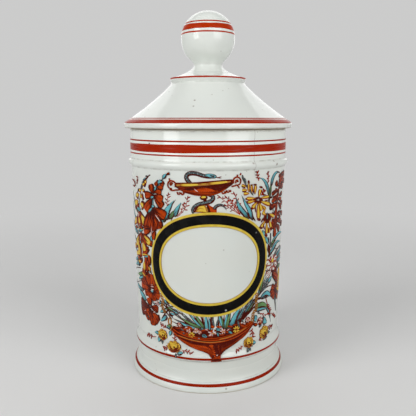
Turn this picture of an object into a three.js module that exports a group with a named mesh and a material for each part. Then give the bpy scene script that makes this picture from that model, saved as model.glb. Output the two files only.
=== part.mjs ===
// A lidded porcelain pharmacy jar (albarello): jar, conical lid and ball knob.
// Millimetres, +Z up. The origin is the centre of the foot, on the surface that the jar stands on.
// Every piece is turned on one axis, so each is an outline of (radius, height) points, revolved.

import * as THREE from 'three';

// Clear gap between pieces that bear on each other
const SEAT_GAP = 0.3;

// Jar: heights above the table
const JAR_HEIGHT = 178.1;
const FLOOR_HEIGHT = 8.8;
const FOOT_EDGE_TOP = 3.8;
const WAIST_LOW = 16;
const WAIST_HIGH = 18;
const FOOT_BEAD_HEIGHT = 24.9;
const WALL_LOW = 31.5;
const WALL_HIGH = 149.4;
const UPPER_BEAD_HEIGHT = 154.7;
const MOUTH_BAND_LOW = 159.2;

// Jar: outer radii
const FOOT_RADIUS = 57.5;
const WAIST_RADIUS = 52.8;
const FOOT_BEAD_RADIUS = 54.8;
const WALL_RADIUS_LOW = 53.2;
const WALL_RADIUS_HIGH = 56.05;
const UPPER_BEAD_RADIUS = 58.3;
const MOUTH_BAND_RADIUS = 56.55;

// Jar: foot ring, cavity and lip
const FOOT_ROUND = 1.8;
const FOOT_RING_WIDTH = 6.3;
const FOOT_RING_SLOPE = 4;
const RECESS_HEIGHT = 2.6;
const RECESS_CROWN = 0.5;
const CAVITY_RADIUS = 47.6;
const CAVITY_ROUND = 8;
const MOUTH_RADIUS = 51;
const LIP_ROUND = 1.3;

// Lid: rim, cone, collar and crown
const LID_BASE = JAR_HEIGHT + SEAT_GAP;
const RIM_RADIUS = 60.8;
const RIM_ROUND = 1.6;
const RIM_EDGE_TOP = LID_BASE + 2.2;
const CONE_LOW = LID_BASE + 5;
const CONE_RADIUS_LOW = 58.6;
const COLLAR_RADIUS = 27.1;
const COLLAR_LOW = 210;
const COLLAR_HIGH = 213.5;
const COLLAR_CHAMFER = 0.4;
const CROWN_RADIUS = 15.9;
const CROWN_HEIGHT = 217.2;

// Lid: the hollow under the cone, and the ring that drops into the mouth
const ROOF_RADIUS = 20.5;
const ROOF_HEIGHT = 207.6;
const ROOF_CENTRE_RADIUS = 10;
const CROWN_WALL = 5.8;
const LID_WALL_INSET = 1.5;
const FLANGE_RADIUS = 49.2;
const FLANGE_WALL = 4.2;
const FLANGE_DEPTH = 9.6;
const FLANGE_TAPER = 0.4;
const SEAT_ROUND = 1.4;

// Knob: foot, neck, ball and the vent that lets the hollow ball breathe in the kiln
const KNOB_BASE = CROWN_HEIGHT + SEAT_GAP;
const KNOB_FOOT_RADIUS = 15.5;
const KNOB_FOOT_EDGE = 0.5;
const NECK_RADIUS = 10.1;
const NECK_HEIGHT = 222.4;
const NECK_SWEEP = 3;
const BALL_RADIUS = 19.2;
const BALL_HEIGHT = 240.8;
const BALL_START_ANGLE = -45.5;
const BALL_CAVITY_RADIUS = 12.4;
const VENT_RADIUS = 1.5;

// Facets round the axis
const JAR_FACETS = 56;
const KNOB_FACETS = 40;

const PORCELAIN = { color: 0xd7dad5, roughness: 0.16, metalness: 0 };

const point = (radius, height) => new THREE.Vector2(radius, height);

// A round stretch, with its angles in degrees from the outward direction.
function arc(radius, height, round, from, to, steps = 3) {
  const start = THREE.MathUtils.degToRad(from);
  const end = THREE.MathUtils.degToRad(to);
  return new THREE.EllipseCurve(radius, height, round, round, start, end, to < from).getPoints(steps);
}

// An S-shaped stretch that leaves and arrives upright, as on the side of a bead or a cove.
function ogee(low, high, steps = 5) {
  const reach = (high.y - low.y) * 0.45;
  const leave = point(low.x, low.y + reach);
  const arrive = point(high.x, high.y - reach);
  return new THREE.CubicBezierCurve(low, leave, arrive, high).getPoints(steps);
}

// A stretch that bends one way, towards a corner that it never reaches.
function sweep(start, corner, end, steps = 5) {
  return new THREE.QuadraticBezierCurve(start, corner, end).getPoints(steps);
}

// Joins the stretches into one outline and drops points that fall together.
function outline(...stretches) {
  const points = [];
  for (const next of stretches.flat()) {
    const last = points.at(-1);
    if (!last || last.distanceTo(next) > 0.02) {
      points.push(next);
    }
  }
  return points;
}

// Revolves an outline about +Z. It runs anticlockwise, seen with the axis at the left.
function turned(name, points, facets) {
  const geometry = new THREE.LatheGeometry(points, facets);
  geometry.rotateX(Math.PI / 2);
  const mesh = new THREE.Mesh(geometry, new THREE.MeshStandardMaterial(PORCELAIN));
  mesh.name = name;
  return mesh;
}

// Underside of the jar: a slightly domed recess inside a flat foot ring.
function jarUnderside() {
  const ringOuter = FOOT_RADIUS - FOOT_ROUND;
  const ringInner = ringOuter - FOOT_RING_WIDTH;
  const recessEdge = point(ringInner - FOOT_RING_SLOPE, RECESS_HEIGHT);
  const corner = point(ringInner - FOOT_RING_SLOPE / 4, RECESS_HEIGHT);
  return [
    point(0, RECESS_HEIGHT + RECESS_CROWN),
    ...sweep(recessEdge, corner, point(ringInner, 0), 3),
    ...arc(ringOuter, FOOT_ROUND, FOOT_ROUND, -90, 0),
  ];
}

// Outside of the jar: foot, cove, waist, foot bead, flared wall, upper bead and mouth band.
function jarOutside() {
  const footBead = point(FOOT_BEAD_RADIUS, FOOT_BEAD_HEIGHT);
  const upperBead = point(UPPER_BEAD_RADIUS, UPPER_BEAD_HEIGHT);
  const wallStart = point(WALL_RADIUS_LOW, WALL_LOW);
  const wallEnd = point(WALL_RADIUS_HIGH, WALL_HIGH);
  const wallBend = point(WALL_RADIUS_LOW, WALL_LOW + (WALL_HIGH - WALL_LOW) * 0.3);
  return [
    ...ogee(point(FOOT_RADIUS, FOOT_EDGE_TOP), point(WAIST_RADIUS, WAIST_LOW), 7),
    ...ogee(point(WAIST_RADIUS, WAIST_HIGH), footBead),
    ...ogee(footBead, wallStart),
    ...sweep(wallStart, wallBend, wallEnd, 7),
    ...ogee(wallEnd, upperBead),
    ...ogee(upperBead, point(MOUTH_BAND_RADIUS, MOUTH_BAND_LOW)),
    ...arc(MOUTH_BAND_RADIUS - LIP_ROUND, JAR_HEIGHT - LIP_ROUND, LIP_ROUND, 0, 90),
  ];
}

// Cavity: rounded lip, straight wall that widens to the mouth, rounded corner and flat floor.
function jarInside() {
  const roundCentre = CAVITY_RADIUS - CAVITY_ROUND;
  return [
    ...arc(MOUTH_RADIUS + LIP_ROUND, JAR_HEIGHT - LIP_ROUND, LIP_ROUND, 90, 180),
    ...arc(roundCentre, FLOOR_HEIGHT + CAVITY_ROUND, CAVITY_ROUND, 0, -90, 5),
    point(0, FLOOR_HEIGHT),
  ];
}

function makeJar() {
  const points = outline(jarUnderside(), jarOutside(), jarInside());
  return turned('jar', points, JAR_FACETS);
}

// Hollow of the lid, from the vent in the crown down the cone to the inside of the flange.
function lidInside() {
  const ventTop = point(VENT_RADIUS, CROWN_HEIGHT);
  const roofCentre = point(VENT_RADIUS, CROWN_HEIGHT - CROWN_WALL);
  const roofFlat = point(ROOF_CENTRE_RADIUS, CROWN_HEIGHT - CROWN_WALL);
  const roofEdge = point(ROOF_RADIUS, ROOF_HEIGHT);
  const flangeInner = FLANGE_RADIUS - FLANGE_WALL;
  const coneFoot = point(flangeInner - LID_WALL_INSET, LID_BASE + 10.2);
  const flangeTop = point(flangeInner, LID_BASE + 7.4);
  return [
    ventTop,
    roofCentre,
    ...sweep(roofFlat, point((ROOF_CENTRE_RADIUS + ROOF_RADIUS) / 2, roofFlat.y), roofEdge, 3),
    ...sweep(roofEdge, point(32.5, 197), coneFoot),
    ...sweep(coneFoot, point(flangeInner, flangeTop.y + LID_WALL_INSET), flangeTop, 3),
  ];
}

// The flange's rounded end and its outside, up to the flat seat under the rim.
function lidFlange() {
  const endRound = (FLANGE_WALL - FLANGE_TAPER) / 2;
  const endRadius = FLANGE_RADIUS - FLANGE_TAPER - endRound;
  const seatStart = point(FLANGE_RADIUS + SEAT_ROUND, LID_BASE);
  return [
    ...arc(endRadius, LID_BASE - FLANGE_DEPTH + endRound, endRound, 180, 360, 6),
    ...sweep(point(FLANGE_RADIUS, LID_BASE - SEAT_ROUND), point(FLANGE_RADIUS, LID_BASE), seatStart, 3),
  ];
}

// Rounded rim, hollow-sided cone, stepped collar and the crown that carries the knob.
function lidOutside() {
  const rimEdge = point(RIM_RADIUS, RIM_EDGE_TOP);
  const coneStart = point(CONE_RADIUS_LOW, CONE_LOW);
  const coneEnd = point(COLLAR_RADIUS, COLLAR_LOW);
  const crownStart = point(COLLAR_RADIUS - COLLAR_CHAMFER, COLLAR_HIGH);
  return [
    ...arc(RIM_RADIUS - RIM_ROUND, LID_BASE + RIM_ROUND, RIM_ROUND, -90, 0, 4),
    ...sweep(rimEdge, point(RIM_RADIUS, CONE_LOW - 1.1), coneStart, 4),
    ...sweep(coneStart, point(38.1, 197.1), coneEnd, 8),
    point(COLLAR_RADIUS, COLLAR_HIGH - COLLAR_CHAMFER),
    ...sweep(crownStart, point(21.5, COLLAR_HIGH + 1), point(CROWN_RADIUS, CROWN_HEIGHT), 4),
    point(VENT_RADIUS, CROWN_HEIGHT),
  ];
}

function makeLidCover() {
  const points = outline(lidInside(), lidFlange(), lidOutside());
  return turned('lid_cover', points, JAR_FACETS);
}

// Flared foot, narrow neck and ball, hollow inside, with the vent down through the neck.
function makeLidKnob() {
  const foot = point(KNOB_FOOT_RADIUS, KNOB_BASE + KNOB_FOOT_EDGE);
  const neck = point(NECK_RADIUS, NECK_HEIGHT);
  const ball = arc(0, BALL_HEIGHT, BALL_RADIUS, BALL_START_ANGLE, 90, 12);
  const ventAngle = THREE.MathUtils.radToDeg(Math.acos(VENT_RADIUS / BALL_CAVITY_RADIUS));
  const points = outline(
    point(VENT_RADIUS, KNOB_BASE),
    point(KNOB_FOOT_RADIUS, KNOB_BASE),
    sweep(foot, point(NECK_RADIUS, NECK_HEIGHT - NECK_SWEEP), neck),
    sweep(neck, point(NECK_RADIUS, NECK_HEIGHT + NECK_SWEEP * 0.6), ball[0], 3),
    ball,
    arc(0, BALL_HEIGHT, BALL_CAVITY_RADIUS, 90, -ventAngle, 8),
    point(VENT_RADIUS, KNOB_BASE),
  );
  return turned('lid_knob', points, KNOB_FACETS);
}

// The lid is one group, because the knob is joined to the cover before firing.
const lid = new THREE.Group();
lid.name = 'lid';
lid.add(makeLidCover(), makeLidKnob());

const albarello = new THREE.Group();
albarello.name = 'albarello';
albarello.add(makeJar(), lid);

export default albarello;
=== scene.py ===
import math
import random

import bmesh
import bpy
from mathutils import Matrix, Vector


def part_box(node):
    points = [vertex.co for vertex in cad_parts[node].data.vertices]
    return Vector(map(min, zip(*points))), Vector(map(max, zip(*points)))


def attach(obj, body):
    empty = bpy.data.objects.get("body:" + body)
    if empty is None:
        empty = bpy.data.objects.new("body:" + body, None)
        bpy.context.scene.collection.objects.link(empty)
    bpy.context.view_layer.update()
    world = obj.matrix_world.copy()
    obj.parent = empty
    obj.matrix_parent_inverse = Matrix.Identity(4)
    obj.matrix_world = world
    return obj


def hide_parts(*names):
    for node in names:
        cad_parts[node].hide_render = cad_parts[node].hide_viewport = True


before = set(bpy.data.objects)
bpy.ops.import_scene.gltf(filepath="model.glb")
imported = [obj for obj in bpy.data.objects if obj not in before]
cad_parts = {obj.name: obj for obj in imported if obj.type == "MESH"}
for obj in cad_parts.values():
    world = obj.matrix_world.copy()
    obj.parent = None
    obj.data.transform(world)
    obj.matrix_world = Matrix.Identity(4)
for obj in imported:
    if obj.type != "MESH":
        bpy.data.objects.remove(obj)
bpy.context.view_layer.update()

bl_info = {
    "name": "Porcelain Pharmacy Jar",
    "version": (1, 0, 0),
    "blender": (4, 5, 0),
    "location": "View3D > Sidebar > Albarello",
    "description": "Builds a glazed, painted and lidded porcelain pharmacy jar",
    "category": "Add Mesh",
}

MM = 0.001

# The porcelain, in mm: points nearer than DOUBLED are one point, and the rest are details of the turned outlines.
DOUBLED = 1e-4
LIP_ROUND = 1.3
RIM_ROUND = 1.6
BAND_HIGH = 213.5
CROWN = 217.2
CEILING = 211.4
VENT = 1.5
KNOB_FOOT = 217.25
BALL_MIDDLE = 240.8
BALL_HOLLOW = 12.4
NECK_ANGLE = -45.5
KNOB_STEPS = 128
# Edges sharper than these angles, in degrees, stay sharp. Points nearer than these, in metres, are welded.
TURNED_SHARP, BAND_SHARP = 38, 50
AXIS_WELD, RING_WELD = 1e-6, 2e-6

# The red bands, in mm: how high the paint stands in its middle and at its edges, and how deep it is sunk.
BAND_STEPS = 192
BAND_LIFT, BAND_EDGE, BAND_SUNK = 0.05, 0.015, 0.2
# The hand's waver on the wheel: waves in a turn, and how much a slow and a quick wave change the line's width.
WAVES = (1, 2, 5, 9)
SLOW_SWELL, QUICK_SWELL = (3, 0.06), (11, 0.03)

# Arc lengths round the wall are measured on this radius, in mm, from the middle of the front.
PAINT_RADIUS = 55
# The brush work, in mm: height of the first pigment over the wall, rise with each change of pigment, rise in the
# middle of a stroke, least width, and length of a stroke's or a filled space's steps.
FIRST_LIFT, PAINT_STEP, STROKE_DOME = 0.06, 0.012, 0.02
HAIR = 0.12
# The part of its full swelling that a brush mark shows: where it begins, and how much of it there is.
SWELL_START, SWELL_SPAN = 0.015, 0.97
STROKE_STEP, FILL_STEP = 1.1, 1.2
# Steps of a smooth curve between two of its points, and of a sprig's stem.
CURVE_STEPS, STEM_STEPS = 8, 24
# The pigment of the outline under a brush mark, how much wider it is, in mm, and its tone.
OUTLINES = {"petal": ("maroon", 0.7, 0.25), "yellow": ("brick", 1, 0.5), "turquoise": ("maroon", 0.9, 0.25),
            "green": ("maroon", 0.8, 0.25), "blush": ("line_red", 0.8, 0.4)}

# How a brush mark swells: powers of the distance from its start and from its end.
LINE = (0.12, 0.25)
BLADE = (0.35, 1.1)
LEAF = (0.6, 0.9)
BUD = (0.5, 0.5)
PETAL = (0.75, 0.22)

# How smooth the surfaces look to light: index of refraction of each finish, and relief of each in metres.
GLAZE_IOR, BAND_IOR, ENAMEL_IOR, GILT_IOR, BLACK_IOR, SLATE_IOR = 1.52, 1.14, 1.12, 1.4, 1.15, 1.3
GLAZE_RELIEF, ENAMEL_RELIEF, FINE_RELIEF = 0.00012, 0.00015, 0.0001
# How far the edge of a chip is spread, as a part of its radius.
CHIP_EDGE = 0.4

# The studio, in metres and degrees. The camera stands where the photograph was taken.
FLOOR_FLAT, FLOOR_BEND, FLOOR_TOP = 1.6, 0.8, 2.6
LAMP_AWAY, LAMP_HEIGHT, LAMP_TALL = 1.05, 0.62, 1
JAR_MIDDLE = (0, 0, 0.14)
CAMERA_PLACE, CAMERA_TILT = (0, -0.39675, 0.1852), 9.5
CAMERA_LENS, CAMERA_SENSOR = 46.41, 36


def length_property(title, note, default):
    """A length among the add-on's settings."""
    return bpy.props.FloatProperty(name=title, description=note, default=default, unit="LENGTH")


def pair_property(title, note, default):
    """An arc length and a height among the settings."""
    return bpy.props.FloatVectorProperty(name=title, description=note, size=2, default=default, unit="LENGTH")


def colour_property(title, note, default):
    """A colour among the settings."""
    return bpy.props.FloatVectorProperty(
        name=title, description=note, subtype="COLOR", size=3, min=0, max=1, default=default)


def power_property(title, note, default):
    """A lamp's power among the settings."""
    return bpy.props.FloatProperty(name=title, description=note, default=default, unit="POWER")


class PorcelainSizes(bpy.types.PropertyGroup):
    """Main sizes of the turned porcelain"""

    jar_height: length_property("Jar height", "Foot to lip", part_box("jar")[1].z)
    foot_radius: length_property("Foot radius", "Outer radius of the foot", 0.0575)
    waist_radius: length_property("Waist radius", "Narrowest radius above the foot", 0.0529)
    wall_radius_low: length_property("Wall radius, low", "Wall radius above the foot bead", 0.0532)
    wall_radius_high: length_property("Wall radius, high", "Wall radius below the upper bead", 0.0562)
    bead_radius: length_property("Upper bead radius", "Radius of the upper bead", 0.0583)
    mouth_band_radius: length_property("Mouth band radius", "Radius of the straight mouth band", 0.05655)
    lid_base: length_property("Lid base", "Height of the lid's seat", 0.1784)
    rim_radius: length_property("Lid rim radius", "Radius of the lid's rim", 0.0608)
    collar_radius: length_property("Collar radius", "Radius of the collar on the lid", 0.0271)
    ball_radius: length_property("Knob radius", "Radius of the ball knob", 0.0192)
    turns: bpy.props.IntProperty(
        name="Turning steps", description="Steps round each turned piece", default=224, min=24)


class PaintSizes(bpy.types.PropertyGroup):
    """Sizes of the fired-on paint"""

    thickness: length_property("Paint body", "Depth of a stroke, most of it sunk in the wall", 0.0006)
    oval_centre: pair_property("Oval centre", "Arc length and height of the oval's middle", (0.0012, 0.0894))
    oval_half: pair_property("Oval half axes", "Outer half width and half height of the oval", (0.0447, 0.0358))
    gold_width: length_property("Gold line", "Width of the oval's gilt lines", 0.0017)
    black_width: length_property("Black band", "Width of the oval's black band", 0.0062)
    thin_band: length_property("Thin band", "Width of the fine red lines", 0.001)
    mouth_band: length_property("Mouth band", "Width of the broad band at the mouth", 0.0051)
    foot_band: length_property("Foot band", "Width of the band on the foot", 0.0017)
    knob_band: length_property("Knob band", "Width of the broad band on the knob", 0.0037)


class PaintColours(bpy.types.PropertyGroup):
    """Colours of the glaze, the paint and the gold"""

    glaze: colour_property("Glaze", "Cool white glaze", (0.655, 0.685, 0.648))
    biscuit: colour_property("Biscuit", "Bare fired body where the glaze was wiped", (0.56, 0.5, 0.4))
    # The stain colour is brown dirt in chips and pinholes, and also painted shade in the seams and creases.
    stain_and_shade: colour_property("Stain", "Brown dirt in chips and seams", (0.12, 0.065, 0.03))
    band_red: colour_property("Band red", "Iron red of the bands", (0.345, 0.0175, 0.0012))
    petal_light: colour_property("Petal light", "Thin iron red in petals", (0.43, 0.047, 0.003))
    petal_dark: colour_property("Petal dark", "Thick iron red in petals", (0.082, 0.0055, 0.002))
    outline: colour_property("Outline", "Dark outlines and shadows", (0.04, 0.0058, 0.003))
    yellow: colour_property("Yellow", "Yellow enamel", (0.68, 0.47, 0.055))
    turquoise: colour_property("Turquoise", "Turquoise enamel", (0.14, 0.45, 0.51))
    green: colour_property("Green", "Green enamel", (0.15, 0.3, 0.115))
    slate: colour_property("Slate", "Grey-teal enamel of the serpent", (0.18, 0.235, 0.24))
    blush: colour_property("Blush", "Pale pink of the blossoms", (0.62, 0.4, 0.34))
    black: colour_property("Black", "Black enamel of the oval", (0.003, 0.003, 0.0027))
    gold: colour_property("Gold", "Yellow gilding", (0.66, 0.5, 0.052))


class StudioSettings(bpy.types.PropertyGroup):
    """Lamps, floor and surroundings"""

    floor: colour_property("Floor", "Pale floor", (0.74, 0.74, 0.735))
    backdrop: colour_property("Backdrop", "Pale backdrop", (0.6, 0.6, 0.597))
    surround: bpy.props.FloatProperty(
        name="Surround level", description="Strength of the even light from all round", default=0.405)
    left_power: power_property("Left lamp", "Power of the left softbox", 6.6)
    right_power: power_property("Right lamp", "Power of the right softbox", 6.2)
    back_power: power_property("Back lamp", "Power of the wide softbox behind", 4.5)
    top_power: power_property("Top lamp", "Power of the overhead softbox", 1)


# Outlines of the turned pieces, as (radius, height) in mm.


def sweep(start, corner, end, steps=10):
    """Points on a rounded corner between two points."""
    a, b, c = Vector(start), Vector(corner), Vector(end)
    return [tuple(a.lerp(b, i / steps).lerp(b.lerp(c, i / steps), i / steps)) for i in range(steps + 1)]


def arc(radius, height, round_off, start, end, steps=12):
    """Part of a circle, between two angles in degrees."""
    angles = [math.radians(start + (end - start) * i / steps) for i in range(steps + 1)]
    return [(radius + round_off * math.cos(a), height + round_off * math.sin(a)) for a in angles]


def joined(*runs):
    """One outline from several runs, without doubled points."""
    points = []
    for run in runs:
        for point in run:
            if not points or math.dist(points[-1], point) > DOUBLED:
                points.append(point)
    return points


def jar_outside(sizes):
    """The jar's outer face from the foot's edge to the lip."""
    foot, waist = sizes.foot_radius / MM, sizes.waist_radius / MM
    low, high = sizes.wall_radius_low / MM, sizes.wall_radius_high / MM
    bead, mouth = sizes.bead_radius / MM, sizes.mouth_band_radius / MM
    top = sizes.jar_height / MM
    return joined(
        arc(foot - 0.7, 0.7, 0.7, -90, 0, 6),
        # The foot's flare, its cove and its bead.
        sweep((foot, 1.4), (foot - 0.1, 3.5), (54.75, 6.7)),
        sweep((54.5, 7), (53.1, 8.9), (waist, 13.5)),
        sweep((waist, 19.6), (waist + 0.1, 21.4), (54, 21.8), 6),
        sweep((54, 21.8), (55, 22), (55, 23.2), 6),
        sweep((55, 24.2), (55, 25.2), (54.3, 26.2), 5),
        sweep((54.3, 26.2), (low + 0.1, 28), (low, 31.5)),
        # The wall and the crisp corner under the upper bead.
        sweep((low, 31.5), (low + 0.35, 62), (high, 149.4), 24),
        [(high + 0.2, 151.3)],
        sweep((high + 0.25, 151.5), (high + 0.35, 152.2), (57.3, 153), 5),
        # The upper bead, and the mouth band up to the rounded lip.
        sweep((57.3, 153), (bead, 154.1), (bead, 155.1), 6),
        sweep((bead, 155.2), (bead, 156.3), (57.4, 156.9), 6),
        sweep((57.4, 156.9), (mouth + 0.1, 157.3), (mouth, 159.2), 6),
        arc(mouth - LIP_ROUND, top - LIP_ROUND, LIP_ROUND, 0, 90, 8))


def jar_outline(sizes):
    """The jar's whole section, from the middle of the underside to the middle of the floor."""
    return joined(
        [(0, 3.1), (12, 3.09), (24, 3.02), (36, 2.85)],
        sweep((45.4, 2.6), (48.4, 2.6), (49.4, 0)),
        jar_outside(sizes),
        arc(52.3, sizes.jar_height / MM - LIP_ROUND, LIP_ROUND, 90, 180, 8),
        arc(39.6, 16.8, 8, 0, -90),
        [(26, 8.8), (13, 8.8), (0, 8.8)])


def lid_outside(sizes):
    """The lid's outer face from the rim's underside to the crown."""
    base, rim, collar = sizes.lid_base / MM, sizes.rim_radius / MM, sizes.collar_radius / MM
    return joined(
        arc(rim - RIM_ROUND, base + RIM_ROUND, RIM_ROUND, -90, 0),
        sweep((rim, base + 2.2), (rim, base + 3.9), (58.6, base + 5)),
        sweep((58.6, base + 5), (37.9, 197.2), (collar - 0.6, 209.4), 16),
        sweep((collar - 0.6, 209.4), (collar - 0.7, 210.9), (collar, 211.8), 6),
        [(collar, 212.6)],
        sweep((collar, 213.1), (collar, BAND_HIGH), (collar - 0.4, BAND_HIGH), 4),
        sweep((collar - 0.4, BAND_HIGH), (21.5, 214.5), (15.9, CROWN)))


def lid_outline(sizes):
    """The lid's whole section, round from the vent and back to it."""
    base = sizes.lid_base / MM
    return joined(
        [(VENT, CROWN), (VENT, CEILING)],
        # The hollow of the cone, the ring that drops into the mouth, and the seat.
        sweep((10, CEILING), (15.25, CEILING), (20.5, 207.6)),
        sweep((20.5, 207.6), (32.5, 197), (43.5, 188.6)),
        sweep((43.5, 188.6), (45, 187.3), (45, 185.8), 6),
        arc(46.9, 170.7, 1.9, 180, 360),
        sweep((49.2, base - 1.4), (49.2, base), (50.6, base), 6),
        lid_outside(sizes),
        [(VENT, CROWN)])


def knob_outside(sizes):
    """The knob's outer face from its foot to the top of the ball."""
    ball, start = sizes.ball_radius / MM, math.radians(NECK_ANGLE)
    joint = (ball * math.cos(start), BALL_MIDDLE + ball * math.sin(start))
    return joined(
        [(15.9, KNOB_FOOT)],
        sweep((16.5, 216.94), (11, 219.5), (10.1, 222.4)),
        sweep((10.1, 222.4), (10.1, 224.2), joint, 6),
        arc(0, BALL_MIDDLE, ball, NECK_ANGLE, 90, 40))


def knob_outline(sizes):
    """The knob's whole section with the hollow of its ball."""
    low = -math.degrees(math.acos(VENT / BALL_HOLLOW))
    hollow = arc(0, BALL_MIDDLE, BALL_HOLLOW, 90, low, 20)
    return joined([(VENT, KNOB_FOOT)], knob_outside(sizes), hollow, [(VENT, KNOB_FOOT)])


def radius_at(face, height):
    """Radius of an outer face at a height, both in mm."""
    for (r0, z0), (r1, z1) in zip(face, face[1:]):
        if z0 <= height <= z1 and z1 > z0:
            return r0 + (r1 - r0) * (height - z0) / (z1 - z0)
    return face[0][0] if height < face[0][1] else face[-1][0]


# Meshes.


def finished_mesh(name, bm, material):
    """A smooth mesh with its material."""
    mesh = bpy.data.meshes.new(name)
    bm.to_mesh(mesh)
    bm.free()
    mesh.materials.append(material)
    mesh.polygons.foreach_set("use_smooth", [True] * len(mesh.polygons))
    return mesh


def piece(name, bm, material, body):
    """Makes a finished piece of a mesh, with its material, on its body."""
    made = bpy.data.objects.new(name, finished_mesh(name, bm, material))
    bpy.context.scene.collection.objects.link(made)
    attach(made, body)
    return made


def spun(points, steps, closed=False):
    """Spins a section, in metres, a full turn about the upright axis. The ends of an open one are welded."""
    bm = bmesh.new()
    verts = [bm.verts.new((r, 0, z)) for r, z in points]
    ends = verts[1:] + verts[:1] if closed else verts[1:]
    edges = [bm.edges.new(pair) for pair in zip(verts, ends)]
    bmesh.ops.spin(
        bm, geom=verts + edges, cent=(0, 0, 0), axis=(0, 0, 1), dvec=(0, 0, 0), angle=math.tau, steps=steps,
        use_merge=True, use_duplicate=False)
    if not closed:
        bmesh.ops.remove_doubles(bm, verts=bm.verts, dist=AXIS_WELD)
    bmesh.ops.recalc_face_normals(bm, faces=bm.faces)
    return bm


def turned(name, outline, steps, material, body):
    """A piece turned from its section, in mm, like clay on the wheel."""
    made = piece(name, spun([(r * MM, z * MM) for r, z in outline], steps), material, body)
    made.data.set_sharp_from_angle(angle=math.radians(TURNED_SHARP))
    return made


def band(name, face, low, high, material, body, waver, seed):
    """A painted line round a turned face, with the slight waver of a hand held to the wheel."""
    run = [(radius_at(face, low), low), *(p for p in face if low < p[1] < high), (radius_at(face, high), high)]
    along = [Vector(b) - Vector(a) for a, b in zip(run, run[1:])]
    along = [along[0]] + [(a + b) / 2 for a, b in zip(along, along[1:])] + [along[-1]]
    out = [Vector((d.y, -d.x)).normalized() for d in along]
    lifts = [BAND_EDGE] + [BAND_LIFT] * (len(run) - 2) + [BAND_EDGE]
    skin = [Vector(p) + n * lift for p, n, lift in zip(run, out, lifts)]
    back = [Vector(p) - n * BAND_SUNK for p, n in zip(run, out)]
    bm = spun([(p.x * MM, p.y * MM) for p in skin + back[::-1]], BAND_STEPS, closed=True)
    rng = random.Random(seed)
    phases = [rng.uniform(0, math.tau) for _ in WAVES]
    (slow, slow_part), (quick, quick_part) = SLOW_SWELL, QUICK_SWELL
    middle = (low + high) / 2 * MM
    for v in bm.verts:
        a = math.atan2(v.co.y, v.co.x)
        drift = sum(math.sin(a * n + p) / n for n, p in zip(WAVES, phases)) * waver
        swell = 1 + slow_part * math.sin(slow * a + phases[0]) + quick_part * math.sin(quick * a + phases[1])
        z = middle + (v.co.z - middle) * swell + drift * MM
        step = radius_at(face, z / MM) - radius_at(face, v.co.z / MM)
        scale = 1 + step * MM / math.hypot(v.co.x, v.co.y)
        v.co = Vector((v.co.x * scale, v.co.y * scale, z))
    made = piece(name, bm, material, body)
    made.data.set_sharp_from_angle(angle=math.radians(BAND_SHARP))


def smooth_path(points, count):
    """Evenly spread points on a smooth curve through the given points."""
    if len(points) == 2:
        a, b = Vector(points[0]), Vector(points[1])
        return [a.lerp(b, i / count) for i in range(count + 1)]
    ends = [2 * Vector(points[0]) - Vector(points[1])] + [Vector(p) for p in points]
    ends.append(2 * Vector(points[-1]) - Vector(points[-2]))
    fine = []
    for p0, p1, p2, p3 in zip(ends, ends[1:], ends[2:], ends[3:]):
        for k in range(CURVE_STEPS):
            t = k / CURVE_STEPS
            fine.append(0.5 * (2 * p1 + (p2 - p0) * t + (2 * p0 - 5 * p1 + 4 * p2 - p3) * t * t
                               + (3 * p1 - p0 - 3 * p2 + p3) * t ** 3))
    fine.append(ends[-2])
    lengths = [0]
    for a, b in zip(fine, fine[1:]):
        lengths.append(lengths[-1] + (b - a).length)
    path, k = [], 0
    for i in range(count + 1):
        want = lengths[-1] * i / count
        while k < len(fine) - 2 and lengths[k + 1] < want:
            k += 1
        part = (want - lengths[k]) / max(lengths[k + 1] - lengths[k], 1e-9)
        path.append(fine[k].lerp(fine[k + 1], min(part, 1)))
    return path


def path_length(points):
    """Length of a path from point to point."""
    return sum(math.dist(a, b) for a, b in zip(points, points[1:]))


def bowed(s0, z0, s1, z1, bend=0):
    """A path from start to end that bends sideways."""
    if not bend:
        return [(s0, z0), (s1, z1)]
    side = Vector((z0 - z1, s1 - s0)).normalized() * bend
    return [(s0, z0), ((s0 + s1) / 2 + side.x, (z0 + z1) / 2 + side.y), (s1, z1)]


def around(angle):
    """The direction of an angle in radians."""
    return Vector((math.cos(angle), math.sin(angle)))


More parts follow.
